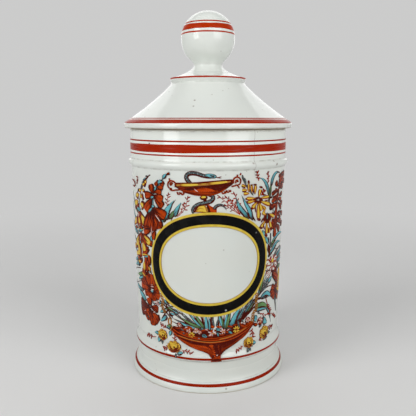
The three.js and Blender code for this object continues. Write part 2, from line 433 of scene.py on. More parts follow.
class Painting:
    """The strokes of one motif on the wall, a mesh for each pigment, laid in painting order."""

    def __init__(self, name, context, start=FIRST_LIFT):
        self.name = name
        self.face = jar_outside(context.scene.porcelain_sizes)
        self.thickness = context.scene.paint_sizes.thickness
        self.meshes = {}
        self.lift = start
        self.last = None
        self.rng = random.Random(len(name))

    def mesh(self, pigment):
        """The mesh that a pigment's strokes go into. A change of pigment lies on top of the last."""
        if pigment != self.last:
            self.lift += PAINT_STEP
            self.last = pigment
        if pigment not in self.meshes:
            bm = bmesh.new()
            bm.loops.layers.uv.new("stroke")
            bm.verts.layers.float.new("tone")
            self.meshes[pigment] = bm
        return self.meshes[pigment]

    def patch(self, pigment, along, across, place, tone, closed=False):
        """Lays a grid on the wall. place(u, v) gives arc length and height in mm."""
        bm = self.mesh(pigment)
        uv = bm.loops.layers.uv["stroke"]
        shade = bm.verts.layers.float["tone"]
        verts = bmesh.ops.create_grid(bm, x_segments=along, y_segments=across, size=0.5)["verts"]
        faces = list(dict.fromkeys(f for v in verts for f in v.link_faces))
        for f in faces:
            for loop in f.loops:
                loop[uv].uv = (loop.vert.co.x + 0.5, loop.vert.co.y + 0.5)
        for v in verts:
            s, z = place(v.co.x + 0.5, v.co.y + 0.5)
            lift = self.lift + STROKE_DOME * (1 - (2 * v.co.y) ** 2)
            r = radius_at(self.face, z) + lift
            a = s / PAINT_RADIUS
            v.co = Vector((r * math.sin(a), -r * math.cos(a), z)) * MM
            v[shade] = tone
        # All faces are asked which way they look, because a sharply bent stroke folds a few of them over.
        outward = 0
        for f in faces:
            f.normal_update()
            outward += f.calc_area() * f.normal.dot(f.calc_center_median() * Vector((1, 1, 0)))
        if outward < 0:
            bmesh.ops.reverse_faces(bm, faces=faces)
        if closed:
            bmesh.ops.remove_doubles(bm, verts=verts, dist=RING_WELD)

    def stroke(self, pigment, points, width, shape, tone, across=None):
        """One brush mark along a path, swelling and tapering."""
        along = max(6, min(64, round(path_length(points) / STROKE_STEP)))
        if across is None:
            across = 2 if width < 1.1 else 4 if width < 4 else 6
        path = smooth_path(points, along)
        rise, fall = shape
        peak = rise / (rise + fall)
        top = peak ** rise * (1 - peak) ** fall

        def place(u, v):
            i = round(u * along)
            a, b = path[max(i - 1, 0)], path[min(i + 1, along)]
            side = Vector((a.y - b.y, b.x - a.x)).normalized()
            t = SWELL_START + SWELL_SPAN * u
            wide = max(width * t ** rise * (1 - t) ** fall / top, HAIR)
            return path[i] + side * wide * (v - 0.5)

        self.patch(pigment, along, across, place, tone)

    def strokes(self, pigment, rows):
        """Brush marks of one pigment, each with its path, width, shape and tone."""
        for row in rows:
            self.stroke(pigment, *row)

    def fill(self, pigment, low, high, tone, across=6):
        """Fills the space between two edge lines that run the same way."""
        along = max(6, min(60, round(max(path_length(low), path_length(high)) / FILL_STEP)))
        edge_low, edge_high = smooth_path(low, along), smooth_path(high, along)

        def place(u, v):
            i = round(u * along)
            return edge_low[i].lerp(edge_high[i], v)

        self.patch(pigment, along, across, place, tone)

    def dab(self, pigment, centre, width, height, turn, tone):
        """A round or oval dab of paint."""
        half = around(math.radians(turn)) * width / 2
        self.stroke(pigment, [Vector(centre) - half, Vector(centre) + half], height, BUD, tone, 4)

    def dabs(self, pigment, rows):
        """Dabs of one pigment, each with its centre, width, height, turn and tone."""
        for row in rows:
            self.dab(pigment, *row)

    def ring(self, pigment, centre, outer, inner, tone, power=2.1, steps=160, across=3, lean=0):
        """An oval band between two pairs of half axes."""
        def place(u, v):
            a = u * math.tau
            bulge = 1 + lean * math.sin(2 * a)
            x, y = (math.copysign(abs(c) ** (2 / power), c) * bulge for c in (math.cos(a), math.sin(a)))
            return (centre[0] + x * (inner[0] + (outer[0] - inner[0]) * v),
                    centre[1] + y * (inner[1] + (outer[1] - inner[1]) * v))

        self.patch(pigment, steps, across, place, tone, closed=True)

    def marks(self, pigment, shape, rows):
        """Marks from start, end, width, tone and perhaps a sideways bend, over their dark outlines."""
        if pigment in OUTLINES:
            under, edge, level = OUTLINES[pigment]
            for s0, z0, s1, z1, width, _, *bend in rows:
                self.stroke(under, bowed(s0 + 0.1, z0 - 0.16, s1 + 0.1, z1 - 0.16, *bend), width + edge, shape, level)
        for s0, z0, s1, z1, width, tone, *bend in rows:
            self.stroke(pigment, bowed(s0, z0, s1, z1, *bend), width, shape, tone)

    def leaf(self, pigment, points, width, shape, tone):
        """A leaf along a path, over a dark outline that is heavier below."""
        self.stroke("maroon", [(a + 0.12, b - 0.2) for a, b in points], width + 0.8, shape, 0.4)
        self.stroke(pigment, points, width, shape, tone, 4)

    def leaves(self, pigment, rows):
        """Leaves of one pigment, each with its path, width, shape and tone."""
        for row in rows:
            self.leaf(pigment, *row)

    def sprig(self, points, reach, pairs):
        """A thread of red with little dashes set loosely on both sides of it."""
        self.stroke("line_red", points, 0.42, LINE, 0.9, 2)
        path = smooth_path(points, STEM_STEPS)
        count, start = round(1.2 * pairs) + 1, 0.4 if math.dist(points[0], points[-1]) > 8 else 0.12
        for k in range(count):
            i = round(STEM_STEPS * (start + (0.96 - start) * k / max(count - 1, 1)))
            here = path[i]
            along = (here - path[max(i - 3, 0)]).normalized()
            side = Vector((-along.y, along.x)) * (1 if k % 2 else -1)
            out = (along * self.rng.uniform(0.5, 0.95) + side) * reach * self.rng.uniform(0.85, 1.25)
            width, tone = self.rng.uniform(0.62, 0.85), self.rng.uniform(0.3, 0.8)
            self.stroke("line_red", [here + out * 0.04, here + out * 1.1], width, BUD, tone, 2)
        self.stroke("line_red", [path[-4], path[-1] + (path[-1] - path[-5]) * 0.5], 0.85, BUD, 0.5, 2)

    def sprigs(self, rows):
        """Sprigs, each with its path, reach and pairs of dashes."""
        for row in rows:
            self.sprig(*row)

    def chain(self, points, size):
        """A row of small gold rings."""
        count = max(3, round(path_length(points) / (size * 1.7)))
        for spot in smooth_path(points, count):
            self.ring("ochre", spot, (size * 0.95, size), (size * 0.5, size * 0.45), 0.5, 2, 16, 2)

    def rose(self, centre, radius, turn, stretch=1):
        """A full-blown yellow rose, light above and brown below, its petals curled round a dark heart."""
        at = Vector(centre)

        def spot(angle, reach):
            a = math.radians(turn + angle)
            return at + Vector((math.cos(a) * stretch, math.sin(a) * 0.92)) * radius * reach

        self.dab("brick", at + Vector((0.12, -0.22)), radius * 2.05 * stretch, radius * 1.92, turn, 0.15)
        for k, angle in enumerate((8, 66, 121, 178, 238, 301)):
            size = radius * self.rng.uniform(0.5, 0.66)
            low = math.sin(math.radians(turn + angle)) < -0.5
            petal = [spot(angle - 32, 0.68), spot(angle, 0.88), spot(angle + 30, 0.64)]
            self.stroke("ochre" if low else "yellow", petal, size, BUD, 0.35 if low else 0.6 + 0.06 * k, 4)
        for angle in (25, 75, 110, 150, 200, 330):
            self.stroke("yellow", [spot(angle, 0.7), spot(angle + 8, 1.12)], radius * 0.34, BUD, 0.5, 2)
        self.dab("yellow", at + Vector((-0.1, 0.1)) * radius, radius * 1.3 * stretch, radius * 1.15, turn + 20, 0.8)
        for angles, reach, width, tone in (
                ((-80, -25, 30, 80), 0.56, 0.27, 0.1), ((165, 205, 250), 0.56, 0.26, 0.1),
                ((35, 60, 85), 0.82, 0.12, 0.3), ((140, 175, 205), 0.84, 0.14, 0.3),
                ((215, 250, 280), 0.86, 0.18, 0.2), ((-60, -35, -5), 0.9, 0.18, 0.2)):
            self.stroke("brick", [spot(a, reach) for a in angles], radius * width, LEAF, tone, 2)
        lower = [at + around(a) * radius * 0.74 for a in (-1.4, -0.85, -0.3)]
        self.stroke("brick", lower, radius * 0.46, LEAF, 0.15, 4)
        for angles, reach in (((84, 120, 156), 0.7), ((20, 70, 120), 0.4), ((-30, 0, 30), 0.5)):
            self.stroke("yellow", [spot(a, reach) for a in angles], radius * 0.2, LEAF, 1.1, 2)
        self.dab("maroon", at + Vector((0.05, -0.08)) * radius, radius * 0.42, radius * 0.3, turn, 0.5)

    def blossom(self, centre, radius, turn, tone):
        """A pale blossom with ragged petals, red strokes and a small yellow eye."""
        at, outs, between = Vector(centre), [], self.rng.uniform
        self.dab("petal", centre, radius * 1.9, radius * 1.7, turn, 0.4)
        for k in range(6):
            outs.append(around(math.radians(turn + 60 * k + between(-20, 20))) * radius * between(0.6, 1.15))
        for out in outs:
            width = radius * between(0.4, 0.7)
            self.stroke("blush", [at + out * 0.1, at + out], width, LEAF, tone * between(0.2, 1.1), 4)
        for out in outs:
            side = Vector((-out.y, out.x)) * between(-0.25, 0.25)
            line = [at + out * 0.15 + side, at + out * 0.95 + side]
            self.stroke("line_red", line, radius * between(0.14, 0.26), BLADE, 0.7, 2)
        self.dab("yellow", at + Vector((0.08, -0.1)) * radius, radius * 0.36, radius * 0.3, 0, 0.5)

    def star(self, centre, radius):
        """A small yellow star of eight petals."""
        at = Vector(centre)
        self.dab("maroon", centre, radius * 1.9, radius * 1.8, 0, 0.5)
        for k in range(8):
            out = around(math.radians(20 + 45 * k + self.rng.uniform(-9, 9))) * radius
            self.stroke("yellow", [at + out * 0.2, at + out], radius * 0.42, BUD, 0.6 + 0.2 * (k % 2), 2)
        self.dab("petal", centre, radius * 0.5, radius * 0.45, 0, 0.8)

    def finish(self, context):
        """Makes a piece of each pigment's strokes."""
        for pigment, bm in self.meshes.items():
            for e in bm.edges:
                if e.is_boundary:
                    e.smooth = False
            slot, material = pigment_material(pigment, context)
            made = piece(f"{self.name}_{pigment}", bm, material, "jar")
            wall = made.modifiers.new("Paint body", "SOLIDIFY")
            wall.thickness = self.thickness
            wall.offset = -1


def painted(context, name, lay):
    """Lays a motif's strokes and makes its pieces."""
    p = Painting(name, context)
    lay(p)
    p.finish(context)
    return {"FINISHED"}


# Materials.


def tinted(colour, *factors):
    """A colour with its parts scaled, all by one factor or each by its own."""
    return tuple(c * f for c, f in zip(colour, factors * 3))


class Mixer:
    """Builds one material's nodes."""

    def __init__(self, name):
        self.material = bpy.data.materials.new(name)
        self.material.use_nodes = True
        self.tree = self.material.node_tree
        self.surface = self.tree.nodes["Principled BSDF"]
        self.place = self.tree.nodes.new("ShaderNodeTexCoord").outputs["Object"]

    def put(self, socket, value):
        """Links or sets an input."""
        if isinstance(value, bpy.types.NodeSocket):
            self.tree.links.new(value, socket)
        elif value is not None:
            socket.default_value = value

    def maths(self, kind, a, b=None, c=None):
        """A Math node."""
        node = self.tree.nodes.new("ShaderNodeMath")
        node.operation = kind
        for socket, value in zip(node.inputs, (a, b, c)):
            self.put(socket, value)
        return node.outputs[0]

    def times(self, a, b):
        """One value times another."""
        return self.maths("MULTIPLY", a, b)

    def plus(self, a, b):
        """The sum of two values."""
        return self.maths("ADD", a, b)

    def off(self, a, b):
        """How far a value is from another."""
        return self.maths("ABSOLUTE", self.maths("SUBTRACT", a, b))

    def swing(self, value, reach):
        """A cloudy value turned into one that swings by a reach about 0."""
        return self.times(self.maths("SUBTRACT", value, 0.5), reach)

    def fade(self, value, low, high, to_low=0, to_high=1):
        """A smooth step from to_low at low to to_high at high."""
        node = self.tree.nodes.new("ShaderNodeMapRange")
        node.interpolation_type = "SMOOTHSTEP"
        for socket, number in zip(node.inputs, (value, low, high, to_low, to_high)):
            self.put(socket, number)
        return node.outputs[0]

    def mix(self, factor, a, b):
        """A colour between two."""
        node = self.tree.nodes.new("ShaderNodeMix")
        node.data_type = "RGBA"
        self.put(node.inputs[0], factor)
        for socket, value in ((node.inputs[6], a), (node.inputs[7], b)):
            self.put(socket, value if isinstance(value, bpy.types.NodeSocket) else (*value, 1))
        return node.outputs[2]

    def stretched(self, scale):
        """The object's coordinates, scaled along each axis."""
        node = self.tree.nodes.new("ShaderNodeMapping")
        self.put(node.inputs["Vector"], self.place)
        node.inputs["Scale"].default_value = scale
        return node.outputs[0]

    def noise(self, source, scale, detail=3, rough=0.5):
        """Cloudy values from 0 to 1."""
        node = self.tree.nodes.new("ShaderNodeTexNoise")
        self.put(node.inputs["Vector"], source)
        node.inputs["Scale"].default_value = scale
        node.inputs["Detail"].default_value = detail
        node.inputs["Roughness"].default_value = rough
        return node.outputs[0]

    def cells(self, scale):
        """Distance to the nearest of scattered points."""
        node = self.tree.nodes.new("ShaderNodeTexVoronoi")
        self.put(node.inputs["Vector"], self.place)
        node.inputs["Scale"].default_value = scale
        return node.outputs["Distance"]

    def scattered(self, cell_scale, size, patch_scale, low, high):
        """Small dots of a size, only where a cloud is dense."""
        dots = self.cells(cell_scale)
        rare = self.fade(self.noise(self.place, patch_scale, 2), low, high)
        return self.times(self.fade(dots, size, size + 0.07, 1, 0), rare)

    def parts(self, source):
        """The three parts of a vector."""
        node = self.tree.nodes.new("ShaderNodeSeparateXYZ")
        self.put(node.inputs[0], source)
        return node.outputs

    def along_across(self):
        """How far along its stroke a point lies, and how far across."""
        node = self.tree.nodes.new("ShaderNodeUVMap")
        node.uv_map = "stroke"
        u, v, _ = self.parts(node.outputs[0])
        return u, v

    def from_axis(self):
        """Distance from the upright axis, in metres."""
        x, y, _ = self.parts(self.place)
        return self.maths("SQRT", self.plus(self.maths("POWER", x, 2), self.maths("POWER", y, 2)))

    def joined(self, x, y, z):
        """A vector from three values."""
        node = self.tree.nodes.new("ShaderNodeCombineXYZ")
        for socket, value in zip(node.inputs, (x, y, z)):
            self.put(socket, value)
        return node.outputs[0]

    def near(self, spot, radius):
        """1 close to a point of the object and 0 away from it, in metres."""
        node = self.tree.nodes.new("ShaderNodeVectorMath")
        node.operation = "DISTANCE"
        self.put(node.inputs[0], self.place)
        node.inputs[1].default_value = spot
        return self.fade(node.outputs["Value"], radius * (1 - CHIP_EDGE), radius * (1 + CHIP_EDGE), 1, 0)

    def bump(self, height, strength, depth):
        """Relief on the surface."""
        node = self.tree.nodes.new("ShaderNodeBump")
        node.inputs["Strength"].default_value = strength
        node.inputs["Distance"].default_value = depth
        self.put(node.inputs["Height"], height)
        self.put(self.surface.inputs["Normal"], node.outputs[0])

    def finish(self, colour, roughness, gloss_ior=1.5, metal=0):
        """Plugs colour and roughness in."""
        self.put(self.surface.inputs["Base Color"], colour)
        self.put(self.surface.inputs["Roughness"], roughness)
        self.surface.inputs["IOR"].default_value = gloss_ior
        self.surface.inputs["Metallic"].default_value = metal
        return self.material


def on_wall(arc_length, height, radius):
    """A point of a turned face, in metres, from mm."""
    a = arc_length / PAINT_RADIUS
    return (radius * math.sin(a) * MM, -radius * math.cos(a) * MM, height * MM)


def glaze(name, colours, bare, spots=(), grimy_shaded_seams=(), crack=False, pitted=0.4, painted_brightness=1):
    """Milky glaze with faint clouds, pinholes, grimy seams with painted shade, chips, bare biscuit, and painted light
    that whitens it towards the top.
    """
    m = Mixer(name)
    x, y, z = m.parts(m.place)
    height = m.times(z, 1 / MM)
    # Clouds in the glaze, and painted light: the wall is painted whiter towards the mouth, and the lid and the knob
    # whiter all over.
    cloud = m.noise(m.place, 22)
    shade = m.mix(m.fade(cloud, 0.35, 0.7), colours.glaze, tinted(colours.glaze, 1.012, 0.995, 0.98))
    shade = m.mix(m.fade(height, 132, 172, 0, painted_brightness), shade, tinted(colours.glaze, 1.2))
    # Grime and painted shade in the seams and creases, each given by its heights and its depth of colour.
    grime_and_shade_noise = m.noise(m.place, 260, 4, 0.65)
    for low, high, amount in grimy_shaded_seams:
        ring = m.fade(m.off(height, (low + high) / 2), 0, (high - low) / 2, 1, 0)
        patchy = m.times(ring, m.fade(grime_and_shade_noise, 0.38, 0.72, 0.25, 1))
        shade = m.mix(m.times(patchy, amount), shade, colours.stain_and_shade)
    # Pinholes.
    pits = m.scattered(190, 0.05, 95, 0.56, 0.6)
    shade = m.mix(m.times(pits, pitted), shade, colours.stain_and_shade)
    # The glaze is duller at the foot and in the chips.
    rough = m.plus(m.fade(cloud, 0.3, 0.7, 0.05, 0.09), m.fade(height, 8, 26, 0.3, 0))
    for spot, radius, depth in spots:
        mark = m.times(m.near(spot, radius), m.fade(grime_and_shade_noise, 0.3, 0.5, 0.4, 1))
        shade = m.mix(m.times(mark, depth), shade, colours.stain_and_shade)
        rough = m.plus(rough, m.times(mark, 0.5))
    if crack:
        # A hairline down from the mouth.
        angle = m.maths("ARCTAN2", x, m.times(y, -1))
        wander = m.maths("MULTIPLY_ADD", m.noise(m.joined(0, 0, z), 90, 4, 0.6), 0.05, 0.538)
        line = m.fade(m.off(angle, wander), 0.0015, 0.0042, 1, 0)
        run = m.times(m.fade(height, 146, 151), line)
        shade = m.mix(m.times(run, 0.45), shade, colours.stain_and_shade)
    wiped = bare(m, height)
    shade = m.mix(wiped, shade, colours.biscuit)
    rough = m.maths("MAXIMUM", rough, m.times(wiped, 0.75))
    m.bump(m.plus(m.noise(m.place, 55, 2), m.times(pits, -0.6)), 0.2, GLAZE_RELIEF)
    return m.finish(shade, rough, GLAZE_IOR)


def jar_bare(m, height):
    """The jar was wiped bare on its foot ring and on the lip where the lid sits."""
    return m.maths("MAXIMUM", m.fade(height, 0.2, 0.9, 1, 0), m.fade(height, 177.5, 178))


def lid_bare(m, height):
    """The lid is bare on its seat and down the ring that drops into the mouth."""
    low = m.fade(height, 178.6, 179, 1, 0)
    return m.times(low, m.fade(m.times(m.from_axis(), 1 / MM), 45.4, 46.2))


def knob_bare(m, height):
    """The knob is glazed all over."""
    return m.fade(height, 100, 101, 1, 0)


def band_red(colours):
    """Iron red laid with a full brush on the wheel: streaks along the line and darker laps."""
    m = Mixer("band_red")
    streaks = m.noise(m.stretched((1, 1, 26)), 60, 3, 0.6)
    laps = m.noise(m.stretched((1, 1, 0.2)), 26, 2)
    body = m.plus(m.times(streaks, 0.55), m.times(laps, 0.45))
    dark = tinted(colours.band_red, 0.55, 0.42, 0.6)
    pale = tuple(c + (g - c) * 0.14 for c, g in zip(colours.band_red, colours.glaze))
    shade = m.mix(m.fade(body, 0.3, 0.5), dark, colours.band_red)
    shade = m.mix(m.fade(body, 0.54, 0.75, 0, 0.8), shade, pale)
    # Brighter the higher it is, and darker low on the jar.
    _, _, height = m.parts(m.place)
    shade = m.mix(m.fade(height, 0.17, 0.25, 0, 0.75), shade, tinted(colours.band_red, 1.34, 1.9, 1))
    shade = m.mix(m.fade(height, 0, 0.16, 0.5, 0), shade, dark)
    m.bump(streaks, 0.15, FINE_RELIEF)
    return m.finish(shade, m.fade(body, 0.3, 0.7, 0.24, 0.34), BAND_IOR)


def enamel(name, colours, dark, light, rim, rim_part, base_part, thin, streak, comb):
    """Enamel in brush strokes: shaded by each stroke's tone, streaked along it, edged by an outline."""
    m = Mixer(name)
    tone = m.tree.nodes.new("ShaderNodeAttribute")
    tone.attribute_name = "tone"
    level = tone.outputs["Fac"]
    u, v = m.along_across()
    seed = m.times(level, 57)
    grain = m.noise(m.joined(m.times(u, 1.7), m.times(v, 4), seed), 1, 3, 0.6)
    level = m.plus(level, m.swing(grain, streak * 2))
    if base_part:
        level = m.plus(level, m.fade(u, 0, 0.6, -0.35, 0.12))
    shade = m.mix(m.fade(level, 0.05, 0.95), dark, light)
    # The glaze shows through in specks.
    speck = m.noise(m.place, 900, 2, 0.6)
    shade = m.mix(m.fade(speck, 0.5, 0.8, 0, thin), shade, colours.glaze)
    if rim_part:
        teeth = m.noise(m.joined(m.times(u, 15), m.times(v, 1.5), seed), 1, 1)
        off = m.plus(m.times(m.off(v, 0.53), 2), m.swing(grain, 0.3))
        off = m.plus(off, m.swing(teeth, comb * 2))
        shade = m.mix(m.fade(off, 1 - rim_part * 1.25, 1 - rim_part * 0.6, 0, 0.92), shade, rim)
    if base_part:
        shade = m.mix(m.fade(u, 0, base_part, 0.85, 0), shade, rim)
    m.bump(grain, 0.2, ENAMEL_RELIEF)
    return m.finish(shade, m.fade(grain, 0.3, 0.7, 0.18, 0.28), ENAMEL_IOR)


def gilt(colours):
    """Yellow gilding, dull and a little rubbed, with a thin brown edge."""
    m = Mixer("gold")
    _, v = m.along_across()
    rub = m.noise(m.place, 240, 4, 0.6)
    brown = (0.3, 0.13, 0.02)
    shade = m.mix(m.fade(rub, 0.35, 0.65), tinted(colours.gold, 0.9, 0.84, 0.7), colours.gold)
    shade = m.mix(m.fade(v, 0, 0.2, 0.85, 0), shade, brown)
    shade = m.mix(m.fade(v, 0.9, 1, 0, 0.35), shade, brown)
    m.bump(rub, 0.2, FINE_RELIEF)
    return m.finish(shade, m.fade(rub, 0.3, 0.7, 0.3, 0.42), GILT_IOR, 0.12)


def black_enamel(colours):
    """Black enamel with brush laps and a few rubbed nicks."""
    m = Mixer("black")
    laps = m.noise(m.place, 70, 3, 0.6)
    nicks = m.scattered(120, 0.06, 60, 0.57, 0.61)
    shade = m.mix(m.fade(laps, 0.4, 0.75), colours.black, (0.01, 0.0095, 0.009))
    shade = m.mix(m.times(nicks, 0.75), shade, colours.glaze)
    m.bump(laps, 0.2, FINE_RELIEF)
    return m.finish(shade, m.fade(laps, 0.3, 0.7, 0.2, 0.3), BLACK_IOR)


def scaled_slate(colours):
    """The serpent's grey-teal skin with rows of small scales."""
    m = Mixer("slate")
    _, v = m.along_across()
    scales = m.cells(1000)
    shade = m.mix(m.fade(scales, 0.22, 0.48), tinted(colours.slate, 1.12), tinted(colours.slate, 0.3))
    shade = m.mix(m.fade(m.times(m.off(v, 0.5), 2), 0.45, 0.8, 0, 0.92), shade, colours.outline)
    m.bump(scales, 0.3, FINE_RELIEF)
    return m.finish(shade, m.fade(scales, 0.2, 0.6, 0.18, 0.26), SLATE_IOR)


def pigment_material(pigment, context):
    """A slot name and the material of a pigment, the material made once."""
    c = context.scene.paint_colours
    slots = {"gold": "gilding", "black": "black_enamel", "petal": "iron_red_enamel", "line_red": "iron_red_enamel",
             "brick": "iron_red_enamel", "maroon": "iron_red_enamel"}
    own = {"gold": gilt, "black": black_enamel, "slate": scaled_slate}
    # Dark and light colour, colour of the rim, width of the rim and of the dark base, specks, streaks and comb.
    enamels = {
        "petal": (c.petal_dark, c.petal_light, c.outline, 0.24, 0.3, 0.02, 1.5, 0.2),
        "brick": (c.petal_dark, tinted(c.petal_light, 1.12), c.outline, 0, 0, 0.02, 0.9, 0),
        "line_red": (c.petal_dark, c.band_red, c.outline, 0, 0, 0.1, 0.5, 0),
        "maroon": (c.outline, c.petal_dark, c.outline, 0, 0, 0.03, 0.6, 0),
        "yellow": (tinted(c.yellow, 0.72, 0.48, 0.4), c.yellow, (0.21, 0.03, 0.008), 0.2, 0.24, 0.03, 0.5, 0.15),
        "turquoise": (tinted(c.turquoise, 0.45), c.turquoise, c.outline, 0.24, 0.2, 0.06, 0.55, 0.34),
        "green": (tinted(c.green, 0.4), c.green, c.outline, 0.24, 0.2, 0.05, 0.55, 0.34),
        "blush": (c.blush, c.glaze, (0.25, 0.03, 0.015), 0.3, 0.3, 0.05, 0.8, 0.3),
        "ochre": ((0.18, 0.05, 0.01), (0.48, 0.22, 0.04), c.outline, 0, 0, 0.03, 0.6, 0),
    }
    if pigment not in bpy.data.materials:
        if pigment in own:
            own[pigment](c)
        else:
            enamel(pigment, c, *enamels[pigment])
    return slots.get(pigment, "colour_enamel"), bpy.data.materials[pigment]


# Pieces.


class ALBARELLO_OT_jar(bpy.types.Operator):
    """Turns the jar's body"""

    bl_idname = "albarello.jar"
    bl_label = "Jar"

    def execute(self, context):
        sizes, colours = context.scene.porcelain_sizes, context.scene.paint_colours
        # Chips: place, radius in metres and depth of colour. Seams, grime and painted shade in the creases: heights
        # in mm and depth of colour.
        spots = [(on_wall(29.4, 156.6, 57.9), 0.0008, 0.6), (on_wall(48.2, 157, 57.4), 0.0008, 0.7),
                 (on_wall(51, 154.6, 58.2), 0.0009, 0.8), (on_wall(-41.5, 168.5, 56.55), 0.0008, 1),
                 (on_wall(12, 3, 57.5), 0.0008, 0.5), (on_wall(-30, 24.6, 54.7), 0.0006, 0.5)]
        grimy_shaded_seams = [(156.9, 158.5, 0.4), (151.4, 153.1, 0.42), (30, 33, 0.2), (20.2, 21.9, 0.5), (6.4, 7.4, 0.3),
                 (0.1, 1.2, 0.3), (176, 178.3, 0.34)]
        # The jar's glaze is painted whiter towards the mouth: painted light.
        material = glaze("jar_glaze", colours, jar_bare, spots, grimy_shaded_seams, crack=True)
        made = turned("porcelain_jar", jar_outline(sizes), sizes.turns, material, "jar")
        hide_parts("jar")
        return {"FINISHED"}


class ALBARELLO_OT_lid(bpy.types.Operator):
    """Turns the lid and its ball knob"""

    bl_idname = "albarello.lid"
    bl_label = "Lid and knob"

    def execute(self, context):
        sizes, colours = context.scene.porcelain_sizes, context.scene.paint_colours
        spots = [((-0.01846, -0.02102, 0.20897), 0.0006, 0.8), ((0.00264, -0.03575, 0.20097), 0.0005, 0.7),
                 ((0.00999, -0.03132, 0.20377), 0.0006, 0.7), ((-0.00876, -0.03941, 0.19697), 0.0007, 0.8),
                 ((-0.00943, -0.04423, 0.19301), 0.0006, 0.7)]
        # Seams, grime and painted shade in the creases: heights in mm and depth of colour.
        grimy_shaded_seams = [(178.4, 179.6, 0.4), (208.9, 211, 0.16)]
        # The lid's glaze is painted whiter all over: painted light.
        material = glaze("lid_glaze", colours, lid_bare, spots, grimy_shaded_seams, pitted=0.6, painted_brightness=0.55)
        cover = turned("porcelain_lid", lid_outline(sizes), sizes.turns, material, "lid")
        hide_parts("lid_cover")
        # Seam, grime and painted shade in the crease of the knob's neck: height in mm and depth of colour.
        grimy_shaded_seams = [(221.5, 224.5, 0.1)]
        # The knob's glaze is painted whiter all over: painted light.
        material = glaze("knob_glaze", colours, knob_bare, grimy_shaded_seams=grimy_shaded_seams, pitted=0.3, painted_brightness=0.7)
        knob = turned("porcelain_knob", knob_outline(sizes), KNOB_STEPS, material, "lid")
        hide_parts("lid_knob")
        return {"FINISHED"}


class ALBARELLO_OT_bands(bpy.types.Operator):
    """Paints the iron-red bands of the jar, the lid and the knob"""

    bl_idname = "albarello.bands"
    bl_label = "Red bands"

    def execute(self, context):
        sizes, paint = context.scene.porcelain_sizes, context.scene.paint_sizes
        red = band_red(context.scene.paint_colours)
        thin, broad = paint.thin_band / MM / 2, paint.mouth_band / MM / 2
        foot, ball = paint.foot_band / MM / 2, paint.knob_band / MM / 2
        jar, lid, knob = jar_outside(sizes), lid_outside(sizes), knob_outside(sizes)
        # Name, face, height of the middle and half width in mm, body, and waver in mm.
        rows = [
            ("band_foot", jar, 5.1, foot, "jar", 0.08),
            ("band_foot_bead", jar, 23.7, 0.8, "jar", 0.1),
            ("band_mouth_low", jar, 161.5, thin, "jar", 0.06),
            ("band_mouth", jar, 165.9, broad, "jar", 0.06),
            ("band_mouth_high", jar, 170.6, thin, "jar", 0.06),
            ("band_lid_rim", lid, 183.2, 1.2, "lid", 0.05),
            ("band_lid_line", lid, 185.2, 0.3, "lid", 0.04),
            ("band_collar", lid, 212.98, 0.55, "lid", 0.02),
            ("band_knob_low", knob, 243.6, thin, "lid", 0.06),
            ("band_knob", knob, 247.5, ball, "lid", 0.07),
            ("band_knob_high", knob, 250.8, thin, "lid", 0.06),
        ]
        for i, (name, face, height, half, body, waver) in enumerate(rows):
            band(name, face, height - half, height + half, red, body, waver, i)
        return {"FINISHED"}


class ALBARELLO_OT_oval(bpy.types.Operator):
    """Paints the oval frame in gold and black round the bare field"""

    bl_idname = "albarello.oval"
    bl_label = "Oval frame"

    def execute(self, context):
        paint = context.scene.paint_sizes
        centre = [c / MM for c in paint.oval_centre]
        a, b = (h / MM for h in paint.oval_half)
        gold, black = paint.gold_width / MM, paint.black_width / MM
        # The frame lies over the flowers, the black reaches under the gold, and the whole oval leans a little.
        above_flowers, overlap, lean = 0.34, 0.3, 0.012

        def inset(depth):
            return a - depth, b - depth

        p = Painting("oval", context, above_flowers)
        inner = gold + black
        p.ring("black", centre, inset(gold - overlap), inset(inner + overlap), 0.5, across=6, lean=lean)
        for depth in (0, inner):
            p.ring("gold", centre, inset(depth), inset(depth + gold), 0.6, lean=lean)
        p.finish(context)
        return {"FINISHED"}


